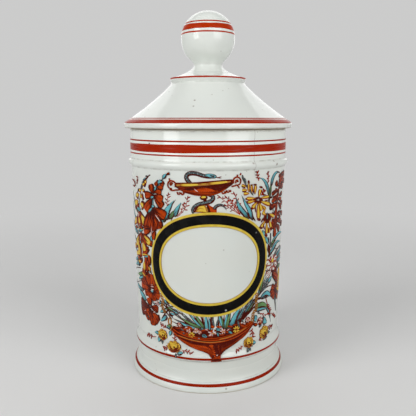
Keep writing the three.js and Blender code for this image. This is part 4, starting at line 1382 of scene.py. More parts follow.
def lay_right_spray(p):
    """The star flowers, blades and the brick-red spike right of the oval."""
    # Tall blades and those that reach round the side.
    p.stroke("green", [(46.2, 127), (46.2, 132), (45, 136.6), (42.6, 141.6)], 2.2, LEAF, 0.5)
    p.leaf("turquoise", [(45.4, 134.6), (43.8, 139.6), (41.2, 143.4), (38.6, 145.6), (35.8, 146.4)], 2.4, (0.45, 1),
        0.6)
    p.stroke("green", [(46.6, 130.6), (47.2, 136.4), (47.8, 141.4), (49, 145)], 2.6, LEAF, 0.15)
    p.leaf("turquoise", [(47.8, 140.4), (49, 144.6), (51.4, 147.6), (54.8, 149), (59.8, 148.2)], 2.5, (0.3, 1), 0.6)
    p.stroke("maroon", [(54, 149.1), (57, 148.9), (60.2, 148)], 0.7, LINE, 0.8)
    p.marks("maroon", BLADE, [(46.4, 129, 48, 142, 0.8, 0.4, -0.4), (46, 130, 40.8, 143.4, 0.6, 0.5, -1.6)])
    p.leaf("turquoise", [(50.6, 96.6), (54.2, 100.8), (59, 103.4), (64.4, 104.6), (76, 103)], 2.7, (0.4, 1.1), 0.55)
    p.stroke("green", [(50.4, 96.4), (53, 99.6), (57.2, 102.4)], 2.2, LEAF, 0.55)
    p.leaf("turquoise", [(47.6, 90.6), (52, 93.6), (56.4, 97.2), (62.4, 98.8), (70, 97.2)], 2.5, (0.4, 1.1), 0.5)
    p.marks("slate", BLADE, [
        (56, 89.6, 67.6, 94.4, 2.2, 0.5, 0.6), (66.4, 94.2, 77, 90, 2, 0.5, 0.6), (64, 87, 76, 84.6, 2.6, 0.5, 1)])
    p.marks("turquoise", LEAF, [
        (40.2, 110.4, 43.6, 104.6, 2.2, 0.7), (43.2, 105.4, 46.8, 99.6, 2.6, 0.65, 0.3),
        (49.8, 93, 53.4, 94.2, 1.4, 0.8)])
    p.marks("maroon", LEAF, [
        (47.4, 99.4, 50, 90.4, 3.2, 0.6), (50.6, 98.6, 58, 100.4, 0.9, 0.4, -0.5),
        (51, 92.4, 60, 96.6, 0.9, 0.4, -0.5), (53.4, 100, 64, 103.2, 0.7, 0.6, 0.6), (46.6, 97, 48.6, 92.6, 1.8, 0.3),
        (58, 94, 66, 92.8, 0.8, 0.5)])
    p.marks("slate", LINE, [(49.6, 107, 50.2, 97, 1.5, 0.5, 0.2), (47.4, 104.4, 48.6, 98.4, 0.9, 0.5)])
    # Brick-red spike at the side: petals off a brown stem.
    p.strokes("brick", [
        ([(62, 147.2), (61.4, 142), (59.8, 136.8)], 4.6, (0.4, 0.3), 0.35, 4),
        ([(59.6, 138), (57.6, 132), (56.4, 125), (56.4, 117), (54.8, 108)], 3.6, (0.3, 0.3), 0.35),
        ([(57.4, 118.6), (55.8, 113.4), (54.6, 108.6)], 6.4, (0.5, 0.4), 0.25, 4)])
    p.marks("petal", PETAL, [
        (57.6, 139, 53.8, 142.4, 3.6, 0.31, 0.3), (59, 138, 62, 144.4, 4.6, 0.46), (60, 137.6, 68.4, 138.8, 4, 0.21),
        (60.4, 144, 59, 147.2, 2.8, 0.21), (61.4, 141, 68.6, 144.8, 4.4, 0.46), (64, 145, 71.6, 147.4, 3.8, 0.36),
        (60.4, 147, 66.6, 147.6, 2, 0.36), (66, 141, 74, 141.6, 3, 0.26), (57.4, 135.6, 49, 134.2, 2.8, 0.36, -0.6),
        (58.4, 135.4, 53.4, 137, 2.2, 0.26), (56.6, 133.4, 50.4, 130.8, 2.4, 0.36, 0.4),
        (56.8, 131, 49.2, 129.4, 2.4, 0.46, 0.4), (56.8, 127.6, 46.8, 125.2, 3.8, 0.11, 0.5),
        (56.4, 126.4, 50.8, 126.4, 2.4, 0.56), (58, 130.4, 65.4, 128.6, 3, 0.46),
        (58.4, 127.6, 66.8, 122.4, 3.2, 0.36), (57.6, 124, 54, 119, 4.2, 0.46), (57.4, 119, 63.4, 119.4, 3.8, 0.36),
        (56.4, 115.4, 67.4, 112.8, 3.4, 0.26), (56, 113.6, 50.2, 115.2, 4.2, 0.36), (55.8, 114, 50.4, 111, 4.4, 0.31),
        (54.8, 112.6, 55.6, 103.6, 4.6, 0.46), (56.4, 112.2, 64.4, 106.6, 4.2, 0.36, 0.4),
        (60, 132, 67, 133.4, 2.8, 0.36), (64, 120.4, 72, 117.4, 3, 0.26), (66.4, 109.4, 73, 111.4, 3, 0.26),
        (62, 125, 69, 126.4, 2.8, 0.26), (60, 115, 66, 116.6, 2.6, 0.36)])
    p.marks("maroon", BLADE, [
        (55, 135, 49.6, 133.6, 0.8, 0.4), (56, 136.2, 60.4, 132.6, 1.4, 0.3), (47, 125.6, 49.8, 123.8, 2.2, 0.4),
        (60.6, 146.8, 59.8, 144.8, 1, 0.3), (57, 130, 56.4, 127, 2, 0.3), (57.6, 116.6, 62.4, 114.6, 1.2, 0.4),
        (64.4, 123.6, 65.4, 121.8, 1.1, 0.4), (51.8, 112.4, 54.4, 109, 1, 0.6), (47.2, 131.8, 50.6, 132.6, 1.4, 0.5),
        (58, 141, 64.4, 139.6, 1, 0.5)])
    p.marks("slate", BUD, [(54, 128.2, 57.4, 128.6, 0.9, 0.5), (52, 124.4, 51.6, 121.8, 0.8, 0.5)])
    # Small tubes at the tip of the star spike, each a yellow tongue on dark red.
    p.marks("slate", LEAF, [
        (22.2, 149.2, 23.2, 144.8, 1.3, 0.4), (23.8, 147.2, 25.2, 142.8, 1.5, 0.4), (26.6, 140.4, 31, 135, 1.3, 0.4)])
    p.stroke("slate", [(22.4, 148), (24.4, 143.6), (26.8, 140), (30.4, 135.4)], 1, LINE, 0.4)
    p.dab("brick", (35.2, 131.4), 8.4, 4.6, -10, 0.1)
    p.dab("maroon", (35, 131.2), 5.4, 3.2, -10, 0.9)
    p.dab("brick", (45, 118), 8.6, 7, 0, 0.1)
    p.dab("maroon", (45, 118), 6, 5.6, 0, 0.9)
    p.marks("yellow", PETAL, [
        (25, 141.4, 22, 142.4, 1.4, 0.6), (26.2, 139.2, 22.4, 139.2, 1.4, 0.7), (27.6, 136.8, 23.6, 137, 1.5, 0.7),
        (27.2, 137.6, 26.9, 143.2, 0.9, 0.8), (29.5, 136.8, 29.3, 141.8, 0.9, 0.7),
        (32, 135.8, 32.5, 141.6, 1.3, 0.85), (32.6, 133.3, 25.8, 133.5, 1.5, 0.75),
        (32.4, 131.6, 26.6, 131, 1.5, 0.8), (34, 130.4, 30.4, 126.8, 2.2, 0.8), (35.5, 133.6, 36.6, 138.8, 1.8, 0.85),
        (37, 132.9, 45.2, 133.1, 1.4, 0.8), (37, 130.7, 46.8, 127.5, 2.1, 0.9), (36.2, 129.9, 38.6, 124.4, 2.2, 0.9),
        (35, 129.8, 35.9, 119.4, 2.4, 0.85), (38.6, 127.8, 42.4, 124.6, 1.4, 0.5),
        (43.2, 120.6, 39.6, 122.8, 1.6, 0.6), (46.4, 121, 52.8, 118.4, 2, 0.9), (42.6, 116.8, 38.4, 112.6, 2, 0.8),
        (44.2, 115.4, 44.6, 107.8, 2, 0.8), (47, 116.6, 49.6, 111.2, 2, 0.9), (46.4, 111.6, 48, 107.8, 1.5, 0.5),
        (41.6, 125.4, 40.4, 121.4, 1.3, 0.6)])
    p.marks("line_red", BUD, [
        (27.2, 143, 26.8, 145.4, 1.6, 0.2), (30.4, 142.2, 28.4, 142, 1, 0.2), (33.6, 142, 30.8, 142.2, 1.2, 0.2),
        (25.6, 133.8, 25.4, 132.6, 1.4, 0.3), (26, 131.8, 26.4, 130.4, 1.4, 0.3), (31.2, 126, 29.4, 127, 1.7, 0.3),
        (35.8, 140.6, 38.8, 139.6, 1.4, 0.2), (34.8, 119.2, 38, 117.6, 2.1, 0.3), (36.8, 112.8, 40.2, 112, 1.9, 0.2),
        (42.4, 107.2, 45.6, 105.8, 2.4, 0.3), (48.4, 110.6, 50.8, 109.2, 2.1, 0.2),
        (46.6, 128.8, 48.6, 125.4, 1.8, 0.3), (47.2, 110.4, 46.2, 107.4, 1.5, 0.3), (22, 141.8, 24.6, 140.4, 1, 0.2),
        (22.4, 138.2, 25.4, 138, 0.9, 0.2), (38.4, 136.6, 40.4, 133.8, 1, 0.2, 0.4),
        (37.8, 135, 42.6, 134.4, 0.8, 0.2), (41.4, 130.6, 45.4, 130.6, 0.8, 0.2),
        (32.6, 128.4, 33.4, 123.4, 0.9, 0.2), (37.8, 122.6, 36.8, 119.2, 1.1, 0.2),
        (40.6, 118.8, 38.6, 116, 1.2, 0.2), (50.4, 121.4, 53.8, 119.8, 1, 0.2), (40.2, 115.2, 42.4, 110.6, 1, 0.2),
        (30.4, 139.8, 31, 136.4, 0.7, 0.2)])
    p.dab("slate", (34.9, 131.9), 2.4, 2.2, 0, 0.6)
    p.dab("blush", (34.9, 131.8), 1.2, 1.2, 0, 0.2)
    p.marks("slate", LEAF, [(44.4, 122.2, 44.2, 117.8, 1.6, 0.6)])
    p.marks("turquoise", LEAF, [(44.6, 119.8, 44.2, 117.6, 1.1, 0.6)])
    # Fine red sprigs above.
    p.sprigs([
        ([(35, 144.6), (34.2, 147), (33, 150.6)], 1.3, 4), ([(43.8, 142.4), (44, 146), (43.4, 149.6)], 1.1, 3),
        ([(37.6, 134.6), (39.4, 137), (40.8, 138)], 1.4, 3)])


class ALBARELLO_OT_right_spray(bpy.types.Operator):
    """Paints the star flowers, blades and the brick-red spike right of the oval"""

    bl_idname = "albarello.right_spray"
    bl_label = "Right spray"

    def execute(self, context):
        return painted(context, "right_spray", lay_right_spray)


def lay_right_flowers(p):
    """The white and the red flower low on the right, their leaves, sprigs and roses."""
    # Ochre flower round the side.
    p.marks("yellow", PETAL, [
        (63, 69, 72.4, 77, 5, 0.45, 0.4), (63.4, 67.6, 78.4, 71.8, 5.4, 0.65, 0.4), (63.4, 66, 80, 65.4, 5.2, 0.8),
        (63.4, 64.4, 77.6, 59.4, 5.2, 0.65, -0.4), (63, 63, 71, 55.4, 4.8, 0.5, -0.4)])
    p.marks("brick", BLADE, [
        (63.4, 68.4, 70.4, 73.8, 1.1, 0.4), (63.6, 67.2, 74, 70, 1.2, 0.4), (63.6, 66, 75, 65.8, 1.3, 0.5),
        (63.6, 64.6, 73, 61.4, 1.2, 0.4), (63.2, 63.6, 69, 58, 1.1, 0.4)])
    p.dab("maroon", (63.6, 66), 5.2, 6, 80, 0.7)
    p.marks("maroon", LEAF, [(60, 79, 68, 80.4, 2.8, 0.7), (62, 84, 67, 81, 2.6, 0.6)])
    p.marks("green", BLADE, [(63, 79.6, 80, 77.6, 2.8, 0.3, 0.5)])
    p.marks("turquoise", BLADE, [(58.6, 88, 80, 91.6, 3.2, 0.3, 0.8), (62, 84.6, 80, 82.6, 2.8, 0.3, 0.6)])
    p.stroke("line_red", [(61, 86.6), (70, 87.6), (80, 86.6)], 0.9, LINE, 0.6)
    # Leaves and stems between the oval and the flowers.
    p.strokes("maroon", [
        ([(33, 60.6), (38, 63.8), (45, 67.8), (52, 68.6), (59, 67)], 0.9, LINE, 0.5),
        ([(30.4, 58), (35, 61.6), (40.4, 62), (50, 60.4)], 2, (0.4, 0.9), 0.5)])
    p.marks("turquoise", BLADE, [(38.6, 64.6, 44.6, 78, 2, 0.35, 0.4), (46.4, 72.4, 49.6, 76.6, 1.6, 0.5)])
    p.marks("green", BLADE, [(40, 66.8, 43.6, 76.6, 2.2, 0.45, 0.4)])
    p.marks("slate", BLADE, [
        (40.8, 66.4, 47, 73.8, 1.2, 0.5, 0.6), (42, 66, 49.4, 73.4, 1.2, 0.4, 0.6),
        (43.6, 66.8, 51.6, 73, 1.1, 0.5, 0.6), (45.6, 67.8, 53, 72, 0.9, 0.4, 0.4),
        (42.6, 69, 46.4, 77, 1.2, 0.4, 0.3), (44.4, 70, 48.6, 76.4, 1.1, 0.4, 0.3)])
    p.marks("turquoise", LEAF, [
        (48.8, 71.6, 54, 75.2, 2.4, 0.65), (40.8, 61.8, 54, 60.8, 4.2, 0.6, 2.4),
        (35.2, 54.2, 50.2, 52.6, 2.6, 0.65, 0.8)])
    p.leaf("turquoise", [(47.6, 53), (50.8, 50.6), (53, 46.8), (54.2, 43)], 2, LEAF, 0.5)
    p.stroke("maroon", [(48.4, 53.6), (51.6, 50.8), (53.8, 46.4), (54.8, 40.6)], 0.8, BLADE, 0.4)
    p.marks("maroon", LEAF, [(41, 61.2, 52, 60.6, 1.1, 0.6, 1.8), (38.6, 55, 48.6, 53, 0.6, 0.5, 0.6)])
    p.marks("green", LEAF, [(34.8, 56.4, 49.6, 53.6, 3.4, 0.6, 2.2)])
    p.stroke("slate", [(59.2, 59.2), (62, 55.6), (63.8, 51), (65.4, 45.6)], 2.4, (0.4, 1), 0.6)
    p.marks("maroon", BLADE, [
        (22, 50, 34.6, 63, 1.8, 0.5), (25, 50.4, 37, 61.6, 1.5, 0.7), (20.4, 50.6, 29.4, 61.6, 1.4, 0.8),
        (28.4, 52.2, 38.4, 59.6, 1.3, 0.6)])
    p.marks("turquoise", BLADE, [(20.6, 49.6, 28.4, 60.6, 1.5, 0.35, 0.3), (26.6, 54.4, 33.6, 62.8, 1.2, 0.3)])
    p.marks("green", BLADE, [(28.6, 54.8, 34.4, 60.4, 1.4, 0.4)])
    p.marks("slate", BLADE, [
        (24.4, 53.6, 27.6, 60, 1.3, 0.5), (27, 57, 31.4, 63.4, 1.1, 0.5), (30.6, 60.2, 34.6, 66, 1.1, 0.5),
        (22.6, 50.4, 25.8, 57.4, 1.4, 0.4), (30, 56.6, 36.6, 63.8, 1.1, 0.5)])
    # White flower with red outlines.
    p.marks("blush", PETAL, [
        (53, 84.6, 45.4, 86.8, 4.2, 0.9), (52.6, 83.2, 45.8, 81.6, 4.2, 0.95), (53.4, 82.2, 46.4, 76.4, 4.8, 0.9),
        (54.4, 82.6, 56.6, 77.6, 4.4, 0.6), (54.8, 84.8, 61, 81.6, 4, 0.75), (54.8, 86.4, 60.4, 88, 3.8, 0.8),
        (53.6, 86.2, 52.6, 90.6, 4, 0.7)])
    p.marks("line_red", BLADE, [
        (52.4, 83.8, 46.4, 83.8, 1, 0.8), (52.4, 82.6, 46.4, 79.2, 1.2, 0.8), (53.6, 81.6, 50.6, 76.8, 1.2, 0.8),
        (54.6, 82.4, 60, 79.6, 1.2, 0.8), (55.4, 85.6, 61, 84.6, 1.1, 0.8), (51.4, 85.2, 47.4, 89, 2, 0.6),
        (46.8, 78, 51.4, 80, 0.9, 0.7), (46.8, 76.6, 51, 78.6, 0.9, 0.7), (54.8, 88, 58.6, 90, 1.1, 0.8),
        (50, 88, 53.6, 90.6, 1.4, 0.8), (56.6, 78.6, 59, 79.4, 1.5, 0.7), (46, 85, 48.4, 86.6, 1, 0.8),
        (57.4, 87.6, 61.4, 87, 1.2, 0.8), (48, 81.4, 45.6, 82.2, 0.9, 0.8), (58.6, 82.4, 61.6, 81.2, 1.2, 0.8)])
    p.dab("yellow", (53.6, 86.6), 3.4, 3.6, 0, 0.9)
    p.marks("maroon", LEAF, [
        (44.6, 81, 53, 80, 0.9, 0.5, -0.3), (52, 79.2, 61.6, 76.6, 2.2, 0.5), (56.4, 85, 57.6, 80.6, 1, 0.5)])
    # Red flower.
    p.marks("petal", PETAL, [
        (54, 75.6, 65.4, 70, 6.6, 0.35, 0.8), (53.8, 76.4, 63, 77.4, 4.6, 0.25), (60, 64.4, 54.4, 67, 4.8, 0.35),
        (61.6, 63.6, 62, 67, 4.8, 0.3), (60.6, 63.4, 52.6, 62.4, 5.6, 0.4), (60.4, 62.8, 56.4, 57.8, 5.4, 0.35),
        (61.4, 62.6, 67.6, 56, 5.6, 0.2)])
    p.marks("maroon", BLADE, [
        (57, 74.4, 63.6, 71.8, 0.9, 0.5), (60.2, 63.8, 54.6, 64.2, 0.9, 0.4), (61.2, 64, 61.4, 59.6, 1, 0.4),
        (62, 63.6, 66.8, 58, 1.8, 0.3), (57.6, 77.2, 63.4, 76.6, 1.4, 0.3)])
    p.chain([(36.8, 65.6), (36.4, 60.6), (36.8, 55.6), (34, 52.4), (33.4, 47.6)], 1.3)
    # Sprigs.
    p.sprigs([
        ([(46.8, 60.6), (49.6, 54.8), (53.2, 49.4)], 1.7, 6), ([(46, 48.6), (49.4, 47.8), (52.4, 47.6)], 0.9, 2),
        ([(53.6, 47.6), (58.6, 45.2), (64, 41.6)], 1.2, 4), ([(40.8, 51), (43.4, 49.8), (45, 47.4)], 0.9, 2),
        ([(33.8, 41.6), (33.4, 38.6), (34.8, 35)], 1.9, 4), ([(25.6, 30.4), (23, 29), (20.2, 27.8)], 1.1, 4),
        ([(50.4, 38.4), (54, 36.8), (57.4, 36.2)], 1.6, 4), ([(42, 33.4), (42.2, 32), (41.6, 30.8)], 1.1, 3)])
    # Pink rose, loose yellow roses and their leaves.
    p.marks("turquoise", LEAF, [
        (35.4, 50.6, 37.4, 47.6, 2.2, 0.6), (34.8, 48.4, 37, 46.2, 2, 0.7), (43.8, 43.4, 48.8, 42, 3.6, 0.65, 0.6),
        (44.6, 45, 47.6, 45.6, 2.4, 0.55), (33.4, 31.4, 37, 30.4, 2.2, 0.6)])
    p.marks("slate", LEAF, [
        (43.6, 45.6, 45.4, 47.6, 1.6, 0.5), (42.6, 42.8, 40, 40.6, 2.2, 0.5), (38.4, 52.4, 40.4, 50.6, 1.6, 0.4),
        (31.2, 28.4, 28.2, 25.8, 2.2, 0.6), (31, 28.6, 31.6, 26, 1.5, 0.5), (49.8, 34.2, 53.8, 33.4, 2.4, 0.6),
        (50, 31.4, 44.6, 29.8, 1.6, 0.4), (32.4, 29.4, 34, 28.6, 1.3, 0.4)])
    p.blossom((40.8, 45.4), 3, 15, 0.45)
    p.marks("petal", BUD, [(34.4, 44.6, 38, 43.2, 2, 0.7), (38.6, 44, 43.2, 43.6, 1.2, 0.6, -0.4)])
    p.rose((30.4, 32.2), 3.8, -20)
    p.rose((45.8, 35.6), 4.6, 30)


class ALBARELLO_OT_right_flowers(bpy.types.Operator):
    """Paints the white and the red flower low on the right, with their leaves"""

    bl_idname = "albarello.right_flowers"
    bl_label = "Right flowers"

    def execute(self, context):
        return painted(context, "right_flowers", lay_right_flowers)


def lay_flower_bowl(p):
    """The posy below the oval, then the bowl in front of it."""
    # Blades that fan out behind the oval.
    p.marks("maroon", BLADE, [
        (-9, 47, -26, 50.6, 2.2, 0.5, 0.6), (-6, 46.6, -14.6, 56.2, 1.5, 0.6), (1.6, 46, 2.4, 56.8, 1.8, 0.5),
        (12.6, 44.6, 8.1, 55.6, 1.3, 0.5), (14, 44.4, 37.9, 62, 4.2, 0.55, -1.4), (15, 45.4, 20.1, 55.5, 1.2, 0.4),
        (16.4, 45, 28.9, 60.5, 1.8, 0.4, 0.4), (-3, 46, -3.8, 57, 1.2, 0.5), (-1.6, 45.6, -6.3, 57.2, 1.4, 0.8),
        (-4.6, 46.4, -11.8, 56.6, 1.3, 0.7), (-6.6, 46, -19.6, 54.7, 1.4, 0.8), (-10.6, 47, -24.8, 53.6, 1.3, 0.8),
        (3.2, 45.6, 3.7, 56, 1.3, 0.8), (7.4, 46, 6.9, 55.4, 1.4, 0.8), (10.6, 45.2, 11.4, 56.2, 1.3, 0.7),
        (13.2, 45, 14.7, 57, 1.3, 0.8), (15.6, 45.6, 18.4, 55.9, 1.5, 0.9), (19.4, 47, 27.3, 59, 1.5, 0.8),
        (23.4, 48.6, 33.5, 61.3, 1.6, 0.9), (26.6, 50.4, 35.4, 60.2, 1.4, 0.9), (-8, 45.2, -28, 48.6, 1.6, 0.9, 0.8)])
    p.marks("slate", BLADE, [
        (-8.6, 47.6, -20.3, 57.1, 1.3, 0.5), (-10, 48.6, -26.3, 53.9, 1.1, 0.5), (-12.4, 49, -23.2, 58.4, 1, 0.4),
        (4.2, 46, 2.6, 56.4, 1.5, 0.6), (5.6, 46.6, 8.9, 56.9, 1.5, 0.7), (18.6, 48.4, 26.3, 60.6, 1.4, 0.5),
        (20.8, 50, 30.5, 62.3, 1.1, 0.4)])
    p.marks("turquoise", BLADE, [
        (-4.4, 44.4, -22.4, 49.4, 3, 0.65, 0.8), (-2.2, 43.4, -14, 56.8, 1.8, 0.6, 0.4),
        (-0.4, 42.6, -1.6, 57.8, 2.3, 0.7, 0.3), (1.2, 43.2, 0.2, 55, 1.3, 0.6, -0.3),
        (11.6, 44, 6.8, 57.1, 2.2, 0.65, 0.3), (12, 43.6, 14.2, 57.8, 2, 0.7, 0.5),
        (16, 45.6, 24.4, 60.5, 3.6, 0.65, 0.8)])
    p.marks("green", BLADE, [
        (-4.6, 45.6, -19.6, 52, 2, 0.6, 0.4), (-2.4, 45.4, -9.9, 57, 2, 0.55, 0.3),
        (12.6, 44.4, 16.2, 58.5, 2.2, 0.6), (11, 45, 9.2, 55, 1.3, 0.4)])
    # Dark bed of the posy behind the rim.
    p.fill("maroon", [(-26, 42.8), (-18, 39.6), (-6, 37.6), (4, 37.2), (14, 38.2), (24, 41), (34, 45)],
           [(-25.6, 45), (-17, 45.4), (-8, 44.4), (2, 44.6), (12, 44), (22, 46.6), (34.4, 47)], 0.85, 5)
    p.marks("petal", BUD, [
        (-25, 43.8, -19.4, 44.6, 2.2, 0.5), (-15.4, 46.6, -10.6, 44.4, 1.5, 0.7), (-22, 41.4, -16, 41.6, 2, 0.6),
        (-14, 40, -8, 38.6, 1.7, 0.6), (1.6, 47.4, 4.2, 46, 2, 0.9), (20, 46.6, 24, 47, 2, 0.6),
        (26, 45.4, 33, 46.6, 2.8, 0.8), (23, 43.6, 31.6, 45.4, 1.2, 0.7), (17, 46.4, 20.6, 46.8, 1.6, 0.5),
        (-20.6, 45.2, -12.8, 42.6, 1.2, 0.8)])
    p.marks("slate", LEAF, [
        (-19.4, 44, -17.2, 42.8, 1.7, 0.5), (-17.6, 41.4, -16.6, 39.8, 1.5, 0.5), (21.4, 49.4, 22.6, 44.4, 1.9, 0.6),
        (24.4, 49.6, 25.8, 47.4, 1.5, 0.5), (14, 45.2, 16.4, 43.6, 1.6, 0.5), (14, 41.4, 16.8, 40.8, 1.6, 0.6)])
    p.marks("brick", BUD, [
        (-18, 43.6, -11.6, 45, 1.6, 0.7), (-4.4, 43.6, 0.2, 45, 1.4, 0.6), (6, 41, 11.6, 40.6, 1.4, 0.7),
        (12.8, 42.2, 17.2, 41.6, 1.3, 0.8), (-0.4, 40.6, 3.4, 39.4, 1.2, 0.6), (-17, 39.8, -13.4, 41.8, 1.3, 0.6),
        (13.6, 46.4, 17.4, 45.6, 1.2, 0.6), (5.6, 46.6, 9.6, 46, 1.4, 0.7), (23.6, 45.8, 27.4, 44.2, 1.2, 0.8)])
    p.marks("blush", BUD, [
        (-16.6, 44.6, -14.4, 45.8, 0.9, 0.4), (-2.4, 44.8, 0, 44.2, 0.8, 0.3), (15.2, 44.4, 13.2, 43.2, 0.8, 0.3),
        (7.6, 41.6, 9.4, 41.2, 0.8, 0.4), (25, 47.4, 27.6, 46, 0.8, 0.5), (-23.6, 44.8, -21.4, 45.4, 0.7, 0.4)])
    for centre, radius, turn, tone in (
            ((-8.2, 43.6), 2.6, 10, 0.8), ((-5.6, 42.4), 1.7, 40, 0.5), ((3.2, 42.2), 3, 30, 0.95),
            ((10.4, 43), 2.5, 0, 0.75), ((-13.4, 43), 1.8, 20, 0.5), ((29.2, 48.6), 2.4, 35, 0.6),
            ((-20.4, 47), 1.9, 0, 0.6)):
        p.blossom(centre, radius, turn, tone)
    p.marks("turquoise", LEAF, [
        (-4.2, 41, -0.6, 39.6, 2.6, 0.2, -0.3), (5.4, 45, 8.6, 44, 2.2, 0.2), (6.4, 42.6, 7.2, 39.8, 1.4, 0.2),
        (14.2, 42.8, 17.2, 40.8, 1.7, 0.3), (-7, 38.6, -5.4, 37.6, 1.1, 0.5)])
    p.stroke("maroon", [(-3.4, 40.9), (-2.2, 40.1), (-1.4, 39.9)], 0.8, LINE, 0.3)
    for centre, radius in (((-11.4, 40.3), 2.3), ((20.2, 43.4), 2.6)):
        p.star(centre, radius)
    # The bowl: rim in three strokes, round body light beside its ridge, foot.
    rim = [
        (-26.4, 42.6), (-22, 39.2), (-14, 37.2), (-4, 35.8), (4, 35.4), (13, 36.4), (22, 38.8), (29, 42),
        (34.6, 45.6)]
    body = [(-26, 41.2), (-20, 35.7), (-14, 32.4), (-8, 30.2), (-2.6, 28.6), (0.4, 27.2), (2.4, 25)]
    p.fill("maroon", body + [(5.6, 24.2), (9.2, 26.8), (12, 29.2), (17, 31.8), (22.5, 34.9), (28.6, 39.4),
            (34.6, 44.6)],
           rim, 0.95, 8)
    p.fill("brick", body, [(-25, 41), (-19, 37.2), (-12, 34.8), (-6, 34), (-1, 34.2), (3, 34.4), (5, 31)], 0.38, 6)
    p.strokes("brick", [
        ([(-13, 33.8), (-7, 32.6), (-1, 31.8), (2.6, 29.8)], 3.2, (0.9, 0.3), 0.9),
        ([(1.6, 33.8), (2.6, 31.4), (4, 28.4), (4.6, 25.6)], 3.6, (0.15, 0.5), 0.85),
        ([(2.4, 32.6), (3.4, 29.4), (4.2, 26.6)], 1.5, LEAF, 1.4)])
    p.fill("brick", [(9.6, 28), (13.6, 30.4), (19.6, 33.8), (28.6, 40)],
           [(9, 33.2), (15, 34.2), (22, 36.8), (30.6, 41.8)], 0.2, 4)
    p.strokes("brick", [
        ([(31, 41.6), (24, 37), (17.6, 33.8)], 2.4, LEAF, 0.35),
        ([(7, 33.6), (7.6, 30.6), (8.4, 27.6)], 1.4, LINE, 0.25)])
    p.strokes("maroon", [
        ([(-22, 38), (-12, 35.6), (-2, 34.6), (6, 34.6), (16, 36), (27, 40)], 1.1, LINE, 0.6),
        ([(-26.2, 43.2), (-20, 39.7), (-12, 37.7), (-4, 36.5), (4, 36.2), (13, 37.2), (21, 39.4), (29, 42.8),
         (34.4, 46.2)], 2.4, LINE, 1.1)])
    p.stroke("brick", [(-25.4, 41.6), (-22, 39), (-14, 37.1), (-4, 35.7), (4, 35.3), (13, 36.3), (22, 38.7), (29, 42),
        (34, 45.4)], 0.8, LINE, 0.7)
    p.stroke("ochre", [(-21, 39), (-13, 37.2), (-4, 36), (4, 35.7), (12, 36.4)], 0.4, LINE, 0.9)
    p.stroke("brick", [(-25.6, 43.2), (-20, 40.6), (-12, 38.6), (-4, 37.4), (4, 37), (13, 38), (21, 40.2), (29, 43.6),
        (34, 46.4)], 0.8, LINE, 0.7)
    p.stroke("ochre", [(8, 37.6), (15, 38.8), (22, 41), (28, 43.6)], 0.4, LINE, 0.9)
    p.stroke("brick", [(-16, 40.6), (-6, 38.8), (4, 38.4), (13, 39.4), (22, 41.8), (30, 45.4)], 0.5, LINE, 0.7)
    p.fill("brick", [(2.6, 25), (2.6, 23.8), (2, 22)], [(8.8, 26.4), (8.6, 24.2), (9.4, 22.2)], 0.5, 4)
    p.dab("maroon", (5.6, 23.6), 6.4, 1.9, 0, 0.9)
    p.dab("blush", (6.2, 26.6), 1.3, 0.8, 20, 0.4)
    p.stroke("slate", [(3, 22.2), (6, 21.8), (8.8, 22.4)], 0.6, LINE, 0.5)


class ALBARELLO_OT_flower_bowl(bpy.types.Operator):
    """Paints the bowl of flowers below the oval"""

    bl_idname = "albarello.flower_bowl"
    bl_label = "Flower bowl"

    def execute(self, context):
        return painted(context, "bowl", lay_flower_bowl)


def lay_sprigs(p):
    """The leaves and sprigs that grow from the top of the oval."""
    p.sprigs([
        ([(-27.8, 123), (-27.8, 130), (-26.6, 136.4)], 1.5, 5), ([(-19.6, 122), (-15, 127.4), (-13, 134.8)], 1.5, 5),
        ([(-20.6, 121.6), (-17, 126.4), (-15.6, 130.8)], 1.2, 3)])
    for tip in ((7, 135.6), (11.4, 135.2), (11, 129.8), (14.4, 133.2), (16.8, 137.4)):
        p.sprig([(21.4, 122.8), ((21.4 + tip[0]) / 2 + 1.2, (122.8 + tip[1]) / 2 - 0.8), tip], 1.5, 4)
    p.marks("green", LEAF, [
        (-31, 117, -28.4, 124, 2.4, 0.2), (-26.6, 119.6, -20, 127, 2.6, 0.35, 0.3), (27.8, 119.6, 22, 126, 2.8, 0.35),
        (31.4, 118.4, 27.4, 126.4, 2.2, 0.25)])
    p.stroke("turquoise", [(-32.6, 115.6), (-32, 118.4), (-30.4, 121.4)], 1.7, LEAF, 0.5)
    p.leaves("turquoise", [
        ([(-28, 119), (-28.4, 124), (-25.8, 128.2), (-22.6, 132.2)], 3.9, (0.5, 1.1), 0.65),
        ([(-22.4, 121.6), (-21, 125.6), (-19.2, 128.8), (-17.6, 131.2)], 2.7, (0.5, 1.1), 0.6),
        ([(27, 121), (23, 125.2), (20, 129.6), (18, 134.8)], 3, (0.5, 1.1), 0.6),
        ([(30.6, 119.4), (28.2, 125.4), (25, 130.4), (22.2, 135.6)], 2.6, (0.5, 1.1), 0.65)])
    p.marks("maroon", BLADE, [
        (-24.4, 129, -21.2, 133, 0.8, 0.8), (-27.6, 121, -25.6, 123, 1.4, 0.1),
        (-25, 118.6, -19.8, 126.6, 0.6, 0.5, 0.4), (-30.2, 117.6, -26.4, 121.8, 0.8, 0.4),
        (19.2, 130.4, 17.9, 135.6, 0.7, 0.4), (24, 131.4, 22, 136, 0.6, 0.4), (29, 119.4, 26.6, 124.4, 1, 0.5),
        (33.4, 117.4, 29.4, 124, 0.8, 0.4), (24.6, 121.8, 20.4, 127.6, 0.6, 0.6, 0.3)])


class ALBARELLO_OT_sprigs(bpy.types.Operator):
    """Paints the leaves and fine sprigs that grow from the top of the oval"""

    bl_idname = "albarello.sprigs"
    bl_label = "Leaves above the oval"

    def execute(self, context):
        return painted(context, "oval_leaves", lay_sprigs)


